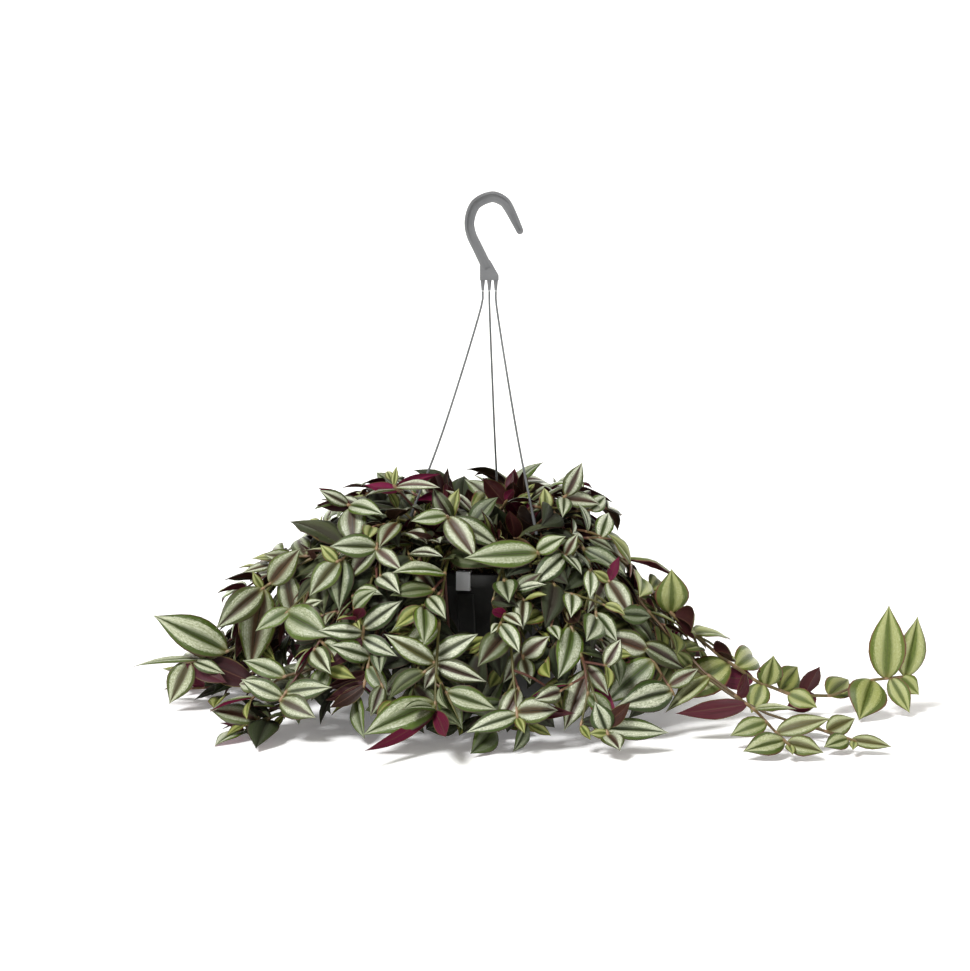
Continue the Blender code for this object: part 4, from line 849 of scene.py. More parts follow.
def grow_shoot(stem, share, rng, crowd):
    """A short leafy side shoot of a stem, or None where there is no room for one."""
    for _ in range(SHOOT_TRIES):
        root, ahead, back = leaf_axes(stem, share, rng.choice((-1, 1)),
                                      math.radians(rng.uniform(15, 75)),
                                      math.radians(rng.uniform(-15, 40)), 0.0)
        length = rng.uniform(14, 48) * MM
        droop = rng.uniform(0.1, 0.8)
        path = [root + t * length * ahead - droop * t**2 * length * (0.5 * back + 0.35 * UP)
                for t in SHOOT_STEPS]
        shoot = Stem(stem.name, path, rng.uniform(29, 45), rng.uniform(11, 15), 0.25)
        shape = shoot.shape(5, 0.0, 0.12)
        if (too_low(shape[0]) or hides_the_wall(shape[0]) or crowd.hits(shape, (stem.name + " body",))
                or not under_dome(shape[0]) or hides_a_strand(shape[0])):
            continue
        crowd.add(shape, stem.name + " shoot")
        return shoot
    return None


def leaf_shoot(shoot, rng, crowd):
    """Gives a side shoot its leaves: alternate ones, then the cluster at its tip."""
    others = Shoots(crowd, shoot.name)
    count = max(1, round(path_length(shoot.path) / SHOOT_LEAF_SPACING))
    side = rng.choice((-1, 1))
    planned = [(0.3 + 0.6 * k / count, rng.uniform(0.8, 1.15), 50, 20, (-1) ** k) for k in range(count)]
    for share, size, yaw, pitch, turn in (*planned, *SHOOT_TIP_LEAVES):
        tries = grown_leaves(shoot, share, side * turn, rng, size, yaw, pitch, young=size < 0.75)
        take_leaf(shoot, share, tries, others)


def side_shoots(stem, crowd):
    """The side shoots of one stem, closer together at the front of the mound."""
    rng = random.Random(stem.name + " shoots")
    middle = along(stem.path, 0.6)[0]
    spacing = FRONT_SHOOT_SPACING if middle.y < -50 * MM and middle.x < 120 * MM else SHOOT_SPACING
    count = int(path_length(stem.path) / spacing
                * (TRAILER_SHARE if stem.name.startswith("trailer") else 1))
    shoots = []
    for k in range(count):
        share = 0.2 + 0.72 * (k + rng.random()) / count
        if along(stem.path, share)[0].z < SOIL_TOP + 8 * MM and share < 0.3:
            continue
        shoot = grow_shoot(stem, share, rng, crowd)
        if shoot:
            leaf_shoot(shoot, rng, crowd)
            shoots.append(shoot)
    return shoots


# Leaves that curl back and show their under face, by stem, as in POSED_LEAVES
CURLED_LEAVES = {
    "spray_front_left": ((0.99, (-46, -54, -14), (-0.3, 0.7, -0.9), 78, 10, 34),),
    "spray_low_left": ((0.99, (-26, -16, -14), (0, 0.9, -0.5), 34, 12, 50),),
    "spray_top_left": ((0.97, (38, 24, 10), (0, 1, 0.2), 42, 11, 10),
                       (0.94, (-24, 0, 4), (0, 1, 0.2), 28, 10, 14)),
    "spray_left_high": ((0.98, (-22, -2, 13), (0, 1, 0.3), 30, 10, 36),
                        (0.96, (-30, -4, 2), (0, 1, 0.2), 30, 11, 20)),
    "spray_right_middle": ((0.99, (8, -2, 20), (0, 1, 0.1), 22, 9, 16),
                           (0.97, (14, -14, -30), (0, 1, -0.2), 34, 9, 20)),
    "spray_right_low": ((0.99, (22, -14, -30), (-0.2, 1, -0.2), 40, 12, 24),),
    "trailer_left": ((0.99, (34, -12, -14), (0, 1, -0.4), 40, 15, 30),),
    "spray_left_middle": ((0.99, (-30, -12, -24), (0, 1, -0.4), 36, 12, 36),),
}


# ------------------------------------------------------------------ fine leaves and stems

LEAF_SHELL = 0.4 * MM
LEAF_GRID = (13, 8)  # rows and columns of faces
SMALL_LEAF_GRID = (10, 6)
FINE_SIDES = 8
STEM_STEP = 9 * MM
STEM_THICKNESS = 0.8  # share of the plan's own
SHOOT_THICKNESS = 0.62
NODE_SWELL = 0.28  # how much thicker a stem is at a joint
NODE_REACH = 2.2 * MM
PALE_REACH = 5 * MM
SHEATH = 7 * MM  # length of stem above a joint that the leaf's sheath wraps
SHEATH_SWELL = 0.16
JOINT_STEPS = (-0.6, -0.1, 0.25, 1.0)  # rings of points about a joint, in lengths of a sheath

# Leaves deep in the mound get painted shade: their colours darken with their light. A leaf's light is
# the share of the ways off its upper face, leaning (outward, aside, up), that meet no other leaf within
# LIGHT_REACH, to a power.
LIGHT_WAYS = tuple(itertools.product((0.2, 0.8), (-0.7, 0.0, 0.7), (0.1, 0.8)))
LIGHT_REACH = 90 * MM
LIGHT_START = 4 * MM
LIGHT_POWER = 0.6
SMALL_LIGHT_POWER = 1.6


def light_leaves(leaves):
    """Gives each leaf its share of light, from 0 deep in the mound to 1 in the open."""
    points, faces = [], []
    for leaf in leaves:
        blade_points, blade_faces = leaf.blade()
        faces += [tuple(len(points) + i for i in face) for face in blade_faces]
        points += blade_points
    tree = BVHTree.FromPolygons(points, faces)
    for leaf in leaves:
        centre, _, normal = leaf.frame(0.5)
        outward = Vector((centre.x, centre.y, 0)).normalized()
        aside = UP.cross(outward)
        free = 0
        for out, across, up in LIGHT_WAYS:
            way = (normal + out * outward + across * aside + up * UP).normalized()
            free += tree.ray_cast(centre + LIGHT_START * normal, way, LIGHT_REACH)[0] is None
        power = SMALL_LIGHT_POWER if leaf.length <= SMALL_LEAF else LIGHT_POWER
        leaf.light = (free / len(LIGHT_WAYS)) ** power


# How the leaves of some stems differ: (brighter, more purple, yellower)
LOOKS = {
    "trailer_right_far": (-0.2, -0.35, 0.85), "trailer_right_front": (-0.2, -0.2, 0.5),
    "trailer_right_low": (-0.3, -0.2, 0.5), "trailer_left": (0.0, -0.4, 0.2),
    "shoulder_left": (-0.05, 0.5, 0.1), "spray_left_dark": (-0.1, 0.3, 0.0),
    "spray_left_green": (-0.25, -0.5, 0.1), "spray_front_broad": (-0.1, -0.5, 0.1),
    "spray_front_left": (-0.15, -0.5, 0.1), "spray_right_large": (-0.05, -0.5, 0.0),
    "spray_centre_left": (0.1, 0.3, 0.0), "spray_left_pair": (-0.15, 0.1, 0.0),
    "spray_front_top": (0.0, -0.3, 0.05), "spray_left_low": (0.0, -0.4, 0.1),
}


def add_object(name, data):
    """A new object in the scene."""
    made = bpy.data.objects.new(name, data)
    bpy.context.scene.collection.objects.link(made)
    return made


class Skin:
    """Points, faces and what the materials read, gathered for one mesh."""

    def __init__(self):
        self.points, self.faces, self.slots = [], [], []
        self.uvs, self.traits = [], []

    def add(self, points, faces, slots, uvs, traits):
        start = len(self.points)
        self.points += points
        self.faces += [tuple(start + i for i in face) for face in faces]
        self.slots += slots
        self.uvs += uvs
        self.traits += traits

    def build(self, name, materials):
        mesh = bpy.data.meshes.new(name)
        mesh.from_pydata([tuple(p) for p in self.points], [], self.faces)
        for material in materials:
            mesh.materials.append(material)
        mesh.polygons.foreach_set("material_index", self.slots)
        corners = np.empty(len(mesh.loops), dtype=np.int32)
        mesh.loops.foreach_get("vertex_index", corners)
        layer = mesh.uv_layers.new(name="blade")
        layer.uv.foreach_set("vector", np.array(self.uvs, dtype=np.float32)[corners].ravel())
        traits = mesh.color_attributes.new(name="traits", type="FLOAT_COLOR", domain="POINT")
        traits.data.foreach_set("color", np.array(self.traits, dtype=np.float32).ravel())
        mesh.shade_smooth()
        mesh.set_sharp_from_angle(angle=math.radians(60))
        return add_object(name, mesh)


def leaf_surface(leaf, rng):
    """Rows of (point, normal, u, v) of a leaf: folded, arched, waved at its edge and curled."""
    rows, columns = SMALL_LEAF_GRID if leaf.length <= SMALL_LEAF else LEAF_GRID
    arch = rng.uniform(0.45, 0.95)
    wave, phase, turns = rng.uniform(0.0, 0.07), rng.uniform(0, 6.3), rng.uniform(1.4, 2.6)
    twist = math.radians(rng.gauss(0, 9))
    curl = rng.uniform(-0.05, 0.16)
    surface = []
    for i in range(rows + 1):
        t = 0.5 - 0.5 * math.cos(math.pi * (i / rows) ** 0.94)
        rib, across, normal = leaf.frame(t)
        turn = twist * t
        side = math.cos(turn) * across + math.sin(turn) * normal
        up = math.cos(turn) * normal - math.sin(turn) * across
        half = 0.5 * leaf.width * leaf.outline(t)
        rib = rib - curl * max(0.0, t - 0.6) ** 2 * leaf.length * up
        row = []
        for j in range(columns + 1):
            v = -1 + 2 * j / columns
            a = abs(v)
            lift = 0.6 * leaf.fold * a**1.3 + arch * (a - a**2.2)
            lift += wave * a * a * math.sin(turns * 2 * math.pi * t + phase + (1.3 if v > 0 else 0))
            row.append((rib + v * half * side + lift * half * up, up, t, v))
        surface.append(row)
    return surface


def add_leaf(skin, leaf, rng, look):
    """One leaf as a closed thin shell: its upper face is slot 0 and its under face slot 1."""
    surface = leaf_surface(leaf, rng)
    rows, columns = len(surface) - 1, len(surface[0]) - 1
    points, uvs, top, under = [], [], {}, {}
    for i, row in enumerate(surface):
        closed = i in (0, rows)
        for j, (point, up, t, v) in enumerate(row):
            if closed and j:
                top[i, j] = under[i, j] = top[i, 0]
                continue
            top[i, j] = under[i, j] = len(points)
            points.append(point)
            uvs.append((t, 0.5 if closed else 0.5 + 0.5 * v))
            if not closed and 0 < j < columns:
                under[i, j] = len(points)
                points.append(point - LEAF_SHELL * up)
                uvs.append((t, 0.5 + 0.5 * v))
    faces, slots = [], []
    for i, j, slot in itertools.product(range(rows), range(columns), (0, 1)):
        side = under if slot else top
        ring = (side[i, j], side[i + 1, j], side[i + 1, j + 1], side[i, j + 1])
        face = tuple(dict.fromkeys(ring))
        faces.append(face if slot else face[::-1])
        slots.append(slot)
    brighter, purpler, yellower = look
    # tone is the leaf's own tone times its light, so a low tone paints shade on a leaf deep in the
    # mound
    tone = 0.05 + (0.25 + 0.75 * leaf.tone + brighter) * leaf.light
    traits = (tone, rng.random() + purpler, rng.random(), 1.0 if leaf.young else yellower)
    traits = tuple(min(1.0, max(0.0, trait)) for trait in traits)
    skin.add(points, faces, slots, uvs, [traits] * len(points))


def add_stem(skin, stem, rng, thickness):
    """A jointed stem, swollen where a leaf's sheath wraps it, and tapered to its tip."""
    length = path_length(stem.path)
    joints = sorted({round(leaf.share, 4) for leaf in stem.leaves})
    steps = max(4, int(length / STEM_STEP))
    marks = {k / steps for k in range(steps + 1)}
    for joint, step in itertools.product(joints, JOINT_STEPS):
        marks.add(min(1.0, max(0.0, joint + step * SHEATH / length)))
    shares = sorted(marks)
    shares = [b for a, b in zip([-1.0] + shares, shares) if b - a > 0.004]
    radii, traits, tone = [], [], rng.random()
    for share in shares:
        near = min((abs(share - joint) * length for joint in joints), default=1.0)
        after = min((share - joint for joint in joints if share >= joint - 1e-6), default=1.0) * length
        sheathed = after < SHEATH
        swell = NODE_SWELL * max(0.0, 1 - near / NODE_REACH) + SHEATH_SWELL * sheathed
        radii.append(stem.radius(share) * thickness * (1 + swell))
        traits += [(tone, min(1.0, near / PALE_REACH), float(sheathed), share)] * FINE_SIDES
    radii[-1] *= 0.5
    points, faces = tube([along(stem.path, share)[0] for share in shares], radii, FINE_SIDES)
    uvs = [(share * length / (20 * MM), k / FINE_SIDES) for share in shares for k in range(FINE_SIDES)]
    skin.add(points, faces, [2] * len(faces), uvs, traits)


def leafy_piece(stem, shoots, materials):
    """The fine piece that stands for a leafy stem of the model."""
    rng = random.Random(stem.name + " looks")
    skin = Skin()
    for part in (stem, *shoots):
        add_stem(skin, part, rng, STEM_THICKNESS if part is stem else SHOOT_THICKNESS)
    for leaf in itertools.chain(stem.leaves, *(shoot.leaves for shoot in shoots)):
        add_leaf(skin, leaf, rng, LOOKS.get(stem.name, (0.0, 0.0, 0.0)))
    piece = skin.build(stem.name + "_leaves", materials)
    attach(piece, "root")
    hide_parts(stem.name)
    return piece


# ------------------------------------------------------------------ materials
# Colours are in display values of 0 to 255, or else linear, with their alpha as a fourth value.

def linear(colour):
    """A colour as linear light with its alpha, which is how one of four values is given."""
    if len(colour) == 4:
        return colour
    return tuple((c / 255 / 12.92 if c <= 10 else ((c / 255 + 0.055) / 1.055) ** 2.4)
                 for c in colour) + (1.0,)


class Nodes:
    """The node tree of a material or world, with short ways to add and join nodes."""

    def __init__(self, owner, shader="Principled BSDF"):
        owner.use_nodes = True
        self.owner, self.tree = owner, owner.node_tree
        self.shader = self.tree.nodes[shader]

    def add(self, kind, **settings):
        node = self.tree.nodes.new("ShaderNode" + kind)
        for key, value in settings.items():
            setattr(node, key, value)
        return node

    def feed(self, socket, value):
        if isinstance(value, bpy.types.NodeSocket):
            self.tree.links.new(value, socket)
        else:
            socket.default_value = value

    def fill(self, node, *values, **named):
        """Feeds a node's inputs, in order and then by name, and gives its first output."""
        for socket, value in zip(node.inputs, values):
            self.feed(socket, value)
        for name, value in named.items():
            self.feed(node.inputs[name.replace("_", " ")], value)
        return node.outputs[0]

    def math(self, operation, a, b=0.0, c=0.0):
        return self.fill(self.add("Math", operation=operation), a, b, c)

    def scale(self, value, by, plus=None):
        """value * by, or value * by + plus."""
        if plus is None:
            return self.math("MULTIPLY", value, by)
        return self.math("MULTIPLY_ADD", value, by, plus)

    def step(self, value, low, high):
        """0 below low, 1 above high and smooth between."""
        return self.fill(self.add("MapRange", interpolation_type="SMOOTHSTEP"), value, low, high)

    def fade(self, value, low, high):
        """1 below low, 0 above high and smooth between."""
        return self.math("SUBTRACT", 1.0, self.step(value, low, high))

    def mix(self, share, a, b, strength=None):
        """a turned towards b by a share, which is first multiplied by the strength."""
        node = self.add("Mix", data_type="RGBA")
        if strength is not None:
            share = self.scale(share, strength)
        self.feed(node.inputs[0], share)
        for socket, colour in ((node.inputs[6], a), (node.inputs[7], b)):
            self.feed(socket, linear(colour) if isinstance(colour, tuple) else colour)
        return node.outputs[2]

    def noise(self, vector, scale, detail=2.0, roughness=0.5):
        return self.fill(self.add("TexNoise"), Vector=vector, Scale=scale, Detail=detail,
                         Roughness=roughness)

    def grain(self, place, scales, detail, roughness):
        """Noise at a place given by three values, drawn out by a scale for each."""
        place = [self.scale(value, by) for value, by in zip(place, scales)]
        return self.noise(self.fill(self.add("CombineXYZ"), *place), 1.0, detail, roughness)

    def traits(self):
        """((along, across), (first, second, third trait), fourth trait) of a leaf or stem."""
        uv = self.add("SeparateXYZ")
        self.fill(uv, self.add("UVMap", uv_map="blade").outputs[0])
        traits = self.add("Attribute", attribute_name="traits")
        split = self.add("SeparateColor")
        self.fill(split, traits.outputs["Color"])
        return uv.outputs[:2], split.outputs[:3], traits.outputs["Alpha"]

    def finish(self, colour, roughness, bump=None, **others):
        """The material; bump is (height, strength, distance)."""
        if bump:
            height, strength, distance = bump
            others["Normal"] = self.fill(self.add("Bump"), Height=height, Strength=strength,
                                         Distance=distance)
        self.fill(self.shader, Base_Color=colour, Roughness=roughness, **others)
        return self.owner


def blade_inputs(nodes):
    """(u along the leaf, from rib to edge, streaks, mottle, tone with the painted shade of deep leaves,
    warmth, seed, youth) of a blade.
    """
    (u, across), (tone, warmth, seed), youth = nodes.traits()
    edge = nodes.math("ABSOLUTE", nodes.scale(across, 2.0, -1.0))
    streaks = nodes.grain((u, across, seed), (3.2, 30.0, 40.0), 3.0, 0.6)
    mottle = nodes.grain((u, across, seed), (30.0, 24.0, 70.0), 2.0, 0.7)
    return u, edge, streaks, mottle, tone, warmth, seed, youth


def upper_material():
    """The striped upper face: a dark band along the rib, silver either side, a green edge."""
    nodes = Nodes(bpy.data.materials.new("leaf_upper"))
    u, edge, streaks, mottle, tone, warmth, seed, youth = blade_inputs(nodes)
    frayed = nodes.math("ADD", edge, nodes.scale(streaks, 0.34, nodes.scale(mottle, 0.16, -0.25)))
    purple = nodes.step(warmth, 0.3, 0.6)
    # the centre band is broader where it is purple, and narrows towards the tip
    band = nodes.scale(seed, 0.12, nodes.scale(purple, 0.1, 0.14))
    band = nodes.scale(band, nodes.scale(u, -0.6, 1.2))
    silver_in = nodes.step(frayed, nodes.scale(band, 0.4), nodes.scale(band, 1.3, 0.1))
    margin_in = nodes.scale(tone, 0.14, nodes.scale(seed, 0.14, 0.44))
    silver = nodes.scale(silver_in, nodes.fade(frayed, margin_in, nodes.math("ADD", margin_in, 0.18)))
    centre = nodes.mix(purple, nodes.mix(seed, (30, 42, 5), (60, 78, 14)),
                       nodes.mix(seed, (42, 22, 14), (74, 48, 32)))
    margin = nodes.mix(purple, nodes.mix(seed, (36, 54, 4), (78, 100, 14)), (58, 48, 22), 0.4)
    base = nodes.mix(nodes.step(edge, 0.4, 0.6), centre, margin)
    # the silver is duller at the leaf's foot and in streaks and spots, and has painted glints elsewhere
    # the silver's brightness follows tone, which paints shade on leaves deep in the mound and light on
    # those in the open
    bright = nodes.mix(nodes.step(tone, 0.0, 1.0), (86, 98, 60), (206, 210, 186))
    bright = nodes.mix(nodes.fade(u, 0.0, 0.5), bright, (84, 96, 54), 0.35)
    bright = nodes.mix(nodes.step(streaks, 0.45, 0.65), bright, (76, 92, 44), 0.4)
    bright = nodes.mix(nodes.step(mottle, 0.46, 0.66), bright, (76, 90, 44), 0.55)
    # painted glints: near-white specks, strongest on leaves in the open
    painted_glint = nodes.scale(nodes.fade(mottle, 0.28, 0.44), tone)
    bright = nodes.mix(painted_glint, bright, (240, 242, 226), 0.8)
    colour = nodes.mix(silver, base, bright)
    # painted shade: leaves deep in the mound, where tone is low, are darkened almost to black
    dark = nodes.scale(nodes.step(tone, 0.05, 0.45), -0.8, 0.8)
    colour = nodes.mix(dark, colour, (14, 18, 4))
    # painted shade along the rib's crease, and the thin dark line at the very edge
    colour = nodes.mix(nodes.fade(edge, 0.0, 0.05), colour, (36, 32, 16))
    colour = nodes.mix(nodes.step(edge, 0.92, 0.97), colour, (48, 34, 18))
    # young leaves are yellower, and flushed red at their edge
    fresh = nodes.mix(silver, nodes.mix(mottle, (66, 82, 18), (106, 118, 38)), (154, 158, 80))
    fresh = nodes.mix(nodes.step(edge, 0.86, 0.98), fresh, (112, 56, 38))
    colour = nodes.mix(youth, colour, fresh, 0.75)
    colour = nodes.mix(nodes.fade(u, 0.0, 0.14), colour, (106, 100, 42), 0.6)
    rough = nodes.scale(silver, -0.1, nodes.scale(streaks, 0.16, 0.36))
    return nodes.finish(colour, nodes.scale(dark, 0.4, rough), Specular_IOR_Level=0.45,
                        bump=(nodes.scale(mottle, 0.9, streaks), 0.5, 0.0006))


def under_material():
    """The under face: wine purple or plum, greener along the rib, with fine veins."""
    nodes = Nodes(bpy.data.materials.new("leaf_under"))
    _, edge, streaks, mottle, tone, warmth, seed, youth = blade_inputs(nodes)
    colour = nodes.mix(nodes.step(seed, 0.3, 0.8), (66, 18, 27), (128, 22, 70))
    colour = nodes.mix(nodes.step(warmth, 0.3, 0.8), colour, (60, 38, 27))
    colour = nodes.mix(nodes.step(streaks, 0.4, 0.7), colour, (30, 13, 17), 0.5)
    # painted shade: the under faces of leaves deep in the mound, where tone is low, are darkened
    colour = nodes.mix(nodes.scale(nodes.step(tone, 0.05, 0.6), -0.6, 0.6), colour, (18, 10, 8))
    colour = nodes.mix(nodes.fade(edge, 0.0, 0.07), colour, (86, 58, 46))
    colour = nodes.mix(nodes.step(edge, 0.9, 0.98), colour, (96, 84, 46))
    colour = nodes.mix(youth, colour, (72, 40, 38), 0.4)
    return nodes.finish(colour, nodes.scale(streaks, 0.2, 0.4), Specular_IOR_Level=0.2,
                        bump=(nodes.scale(mottle, 0.5, streaks), 0.4, 0.0004))


def stem_material():
    """Green stems, flushed pink, with pale joints and streaked sheaths."""
    nodes = Nodes(bpy.data.materials.new("stem_skin"))
    (length, girth), (tone, away, sheath), _ = nodes.traits()
    streaks = nodes.grain((length, girth, tone), (3.0, 26.0, 30.0), 2.0, 0.6)
    colour = nodes.mix(nodes.step(tone, 0.35, 0.75), (84, 82, 38), (92, 56, 46))
    colour = nodes.mix(nodes.step(streaks, 0.45, 0.7), colour, (52, 36, 26), 0.6)
    colour = nodes.mix(sheath, colour, (116, 104, 60), 0.5)
    colour = nodes.mix(nodes.fade(away, 0.0, 0.5), colour, (152, 122, 94))
    return nodes.finish(colour, 0.45, Specular_IOR_Level=0.4, bump=(streaks, 0.3, 0.0003))


def plastic_material(name, dark, light, roughness, dust=0.0):
    """Moulded plastic: a fine grain, a faint cloudiness, and dust where it is asked for."""
    nodes = Nodes(bpy.data.materials.new(name))
    place = nodes.add("TexCoord").outputs["Object"]
    cloud = nodes.noise(place, 30.0, 3.0, 0.6)
    colour = nodes.mix(nodes.step(cloud, 0.3, 0.7), dark, light)
    if dust:
        specks = nodes.step(nodes.noise(place, 520.0, 3.0, 0.7), 0.62, 0.74)
        colour = nodes.mix(specks, colour, (96, 82, 66), dust)
    return nodes.finish(colour, nodes.scale(cloud, 0.14, roughness - 0.07),
                        bump=(nodes.noise(place, 1400.0), 0.12, 0.0002))


def soil_material():
    """Dark potting soil with paler specks."""
    nodes = Nodes(bpy.data.materials.new("potting_soil"))
    place = nodes.add("TexCoord").outputs["Object"]
    coarse = nodes.noise(place, 260.0, 4.0, 0.7)
    fine = nodes.noise(place, 900.0, 3.0, 0.7)
    colour = nodes.mix(nodes.step(coarse, 0.35, 0.7), (30, 23, 18), (74, 57, 42))
    colour = nodes.mix(nodes.step(fine, 0.6, 0.75), colour, (112, 92, 70))
    return nodes.finish(colour, 0.95, Specular_IOR_Level=0.15, bump=(coarse, 0.9, 0.0015))


# ------------------------------------------------------------------ pot, soil and hanger

FINE_POT_SIDES = 96
DRAIN_SIDES = 28
PILASTER_WIDTH = 14 * MM
PILASTER_DEPTH = 0.5 * MM
PILASTER_SECTION = ((-1, -0.8), (1, -0.8), (0.9, 1), (-0.9, 1))  # shares of half width and depth
PILASTER_FOOT = 8 * MM
SOIL_RINGS = 22
SOIL_SIDES = 64
CRUMBS = 620
CRUMB_CORNERS = ((1, 0, 0), (-1, 0, 0), (0, 1, 0), (0, -1, 0), (0, 0, 1), (0, 0, -1))
BEVEL = 0.35 * MM
FINE_HOOK_STEPS = 72
HOOK_BLOCK = ((-7.7, 0), (7.7, 0), (7.7, 4), (0.6, 16.5), (-7.7, 13))  # (x, z) in mm from HOOK_BASE
RECESS_START = 0.06  # share of the bar at which its recessed faces begin
FINE_STRAND_STEPS = 40
STRAND_DROPS = ((0.06, 0.02), (0.29, 0.225), (0.55, 0.48), (0.78, 0.745))  # shares of the fall and run
TAIL_LENGTH = 50 * MM  # of the thicker end of a strand
TAIL_TAPER = 6 * MM


def loose(name, points, faces):
    """A mesh object of plain faces, welded and turned outward."""
    mesh = bpy.data.meshes.new(name)
    mesh.from_pydata([tuple(p) for p in points], [], faces)
    work = bmesh.new()
    work.from_mesh(mesh)
    bmesh.ops.remove_doubles(work, verts=work.verts, dist=1e-6)
    bmesh.ops.recalc_face_normals(work, faces=work.faces)
    work.to_mesh(mesh)
    work.free()
    return add_object(name, mesh)


def own(piece, material, node, crease=35):
    """Gives a piece its material, and has it stand for a node of the model if one is named."""
    piece.data.materials.clear()
    piece.data.materials.append(material)
    piece.data.shade_smooth()
    piece.data.set_sharp_from_angle(angle=math.radians(crease))
    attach(piece, "root")
    if node:
        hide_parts(node)


def apply_all(target):
    """Applies an object's modifiers."""
    bpy.ops.object.select_all(action="DESELECT")
    bpy.context.view_layer.objects.active = target
    target.select_set(True)
    for modifier in list(target.modifiers):
        bpy.ops.object.modifier_apply(modifier=modifier.name)


def join_and_cut(target, added, cut):
    """Unions some objects with the target, then cuts others from it; all of them go."""
    for others, operation in ((added, "UNION"), (cut, "DIFFERENCE")):
        if not others:
            continue
        group = bpy.data.collections.new(target.name + " tools")
        bpy.context.scene.collection.children.link(group)
        for other in others:
            for home in list(other.users_collection):
                home.objects.unlink(other)
            group.objects.link(other)
        step = target.modifiers.new(operation, "BOOLEAN")
        step.operation, step.operand_type, step.collection = operation, "COLLECTION", group
        apply_all(target)
        for other in others:
            bpy.data.objects.remove(other)
        bpy.data.collections.remove(group)


def round_edges(target):
    step = target.modifiers.new("round", "BEVEL")
    step.width, step.segments = BEVEL, 2
    step.limit_method, step.angle_limit = "ANGLE", math.radians(32)
    apply_all(target)


def arc(centre, radius, start, end, steps=4):
    """Points of (r, z) on an arc in the profile's plane; the angles are in degrees."""
    angles = [math.radians(start + (end - start) * k / steps) for k in range(steps + 1)]
    return [(centre[0] + radius * math.cos(angle), centre[1] + radius * math.sin(angle))
            for angle in angles]


def wall_inside(height):
    """Radius of the inside of the pot's wall at a height."""
    share = (height - POT_FLOOR) / (POT_HEIGHT - POT_FLOOR - 0.8 * MM)
    return FOOT_RADIUS - WALL + share * (RIM_RADIUS - 5.4 * MM - FOOT_RADIUS + WALL)


def dress_pot(material):
    """The pot turned finely, with a rolled rim, a rounded foot, drain holes and a pilaster."""
    rim, neck, top, base = RIM_RADIUS, NECK_RADIUS, POT_HEIGHT, POT_FLOOR
    skirt = top - SKIRT_DROP
    profile = [(0, 0), (FOOT_RADIUS - 2.2 * MM, 0)]
    profile += arc((FOOT_RADIUS - 1.2 * MM, 1.5 * MM), 1.5 * MM, -78, -8)
    profile += [(FOOT_RADIUS + (neck - FOOT_RADIUS) * k / 4, 3 * MM + (top - 6 * MM) * k / 4)
                for k in range(1, 5)]
    profile += [(neck + 0.6 * MM, top - 1.8 * MM), (rim - 1.4 * MM, top - 1.8 * MM),
                (rim - 1.4 * MM, skirt + 0.4 * MM)]
    profile += arc((rim - 0.7 * MM, skirt + 0.6 * MM), 0.6 * MM, -170, -10)
    profile += arc((rim - 1.3 * MM, top - 1.3 * MM), 1.3 * MM, 0, 90, 5)
    profile += [(wall_inside(top) + 0.9 * MM, top), (wall_inside(top - 0.8 * MM), top - 0.8 * MM),
                (wall_inside(base), base), (0, base)]
    pot = loose("pot_shell", *turned(profile, FINE_POT_SIDES))
    holes = []
    for k in range(DRAIN_HOLES):
        bpy.ops.mesh.primitive_cylinder_add(
            vertices=DRAIN_SIDES, radius=DRAIN_RADIUS, depth=6 * MM,
            location=polar(30 + 360 * k / DRAIN_HOLES, DRAIN_RING, 1 * MM))
        holes.append(bpy.context.object)
    join_and_cut(pot, [], holes)
    own(pot, material, "pot")
    out = polar(SPARE_CLIP_AZIMUTH, 1, 0)
    lean = (out * (neck - FOOT_RADIUS) + UP * (top - 20 * MM)).normalized()
    beside = lean.cross(out).normalized()
    face = beside.cross(lean)
    low = polar(SPARE_CLIP_AZIMUTH, FOOT_RADIUS + 0.1 * MM, PILASTER_FOOT)
    high = low + lean * (skirt - PILASTER_FOOT - 4 * MM)
    corners = [centre + 0.5 * s * PILASTER_WIDTH * beside + d * PILASTER_DEPTH * face
               for centre in (low, high) for s, d in PILASTER_SECTION]
    own(loose("pot_pilaster", corners, closed_faces(2, 4)), material, None)


def dress_soil(material):
    """A crumbly surface in the pot: a rough disc strewn with crumbs."""
    rng = random.Random("soil")
    edge, rings, sides = wall_inside(SOIL_TOP) - GAP, SOIL_RINGS, SOIL_SIDES
    points = [Vector((0, 0, SOIL_TOP))]
    for i in range(1, rings + 1):
        for k in range(sides):
            p = polar(360 * k / sides, edge * i / rings, SOIL_TOP)
            rough = noise.noise(p * 90) * 1.6 + noise.noise(p * 320) * 0.9
            p.z += (rough - 0.6) * MM if i < rings else -0.6 * MM
            points.append(p)
    points += [polar(360 * k / sides, wall_inside(POT_FLOOR) - GAP, POT_FLOOR + GAP)
               for k in range(sides)]
    under = len(points) - sides
    faces = [(0, 1 + k, 1 + (k + 1) % sides) for k in range(sides)]
    faces += [(1 + a, 1 + d, 1 + c, 1 + b) for a, b, c, d in strip_faces(rings + 1, sides)]
    faces.append(tuple(range(under, under + sides)))
    for _ in range(CRUMBS):
        size = rng.uniform(0.8, 2.6) * MM
        spot = polar(rng.uniform(0, 360), (edge - 3 * MM) * math.sqrt(rng.random()), SOIL_TOP)
        turn = Matrix.Rotation(rng.uniform(0, 6.3), 3, Vector((rng.gauss(0, 1), rng.gauss(0, 1), 1)))
        first = len(points)
        points += [spot + turn @ Vector(corner) * size * rng.uniform(0.6, 1.1)
                   for corner in CRUMB_CORNERS]
        for x, y, z in itertools.product((0, 1), (2, 3), (4, 5)):
            face = (first + x, first + y, first + z)
            faces.append(face if (x + y + z) % 2 == 0 else face[::-1])
    own(loose("soil_crumbs", points, faces), material, "soil", 80)


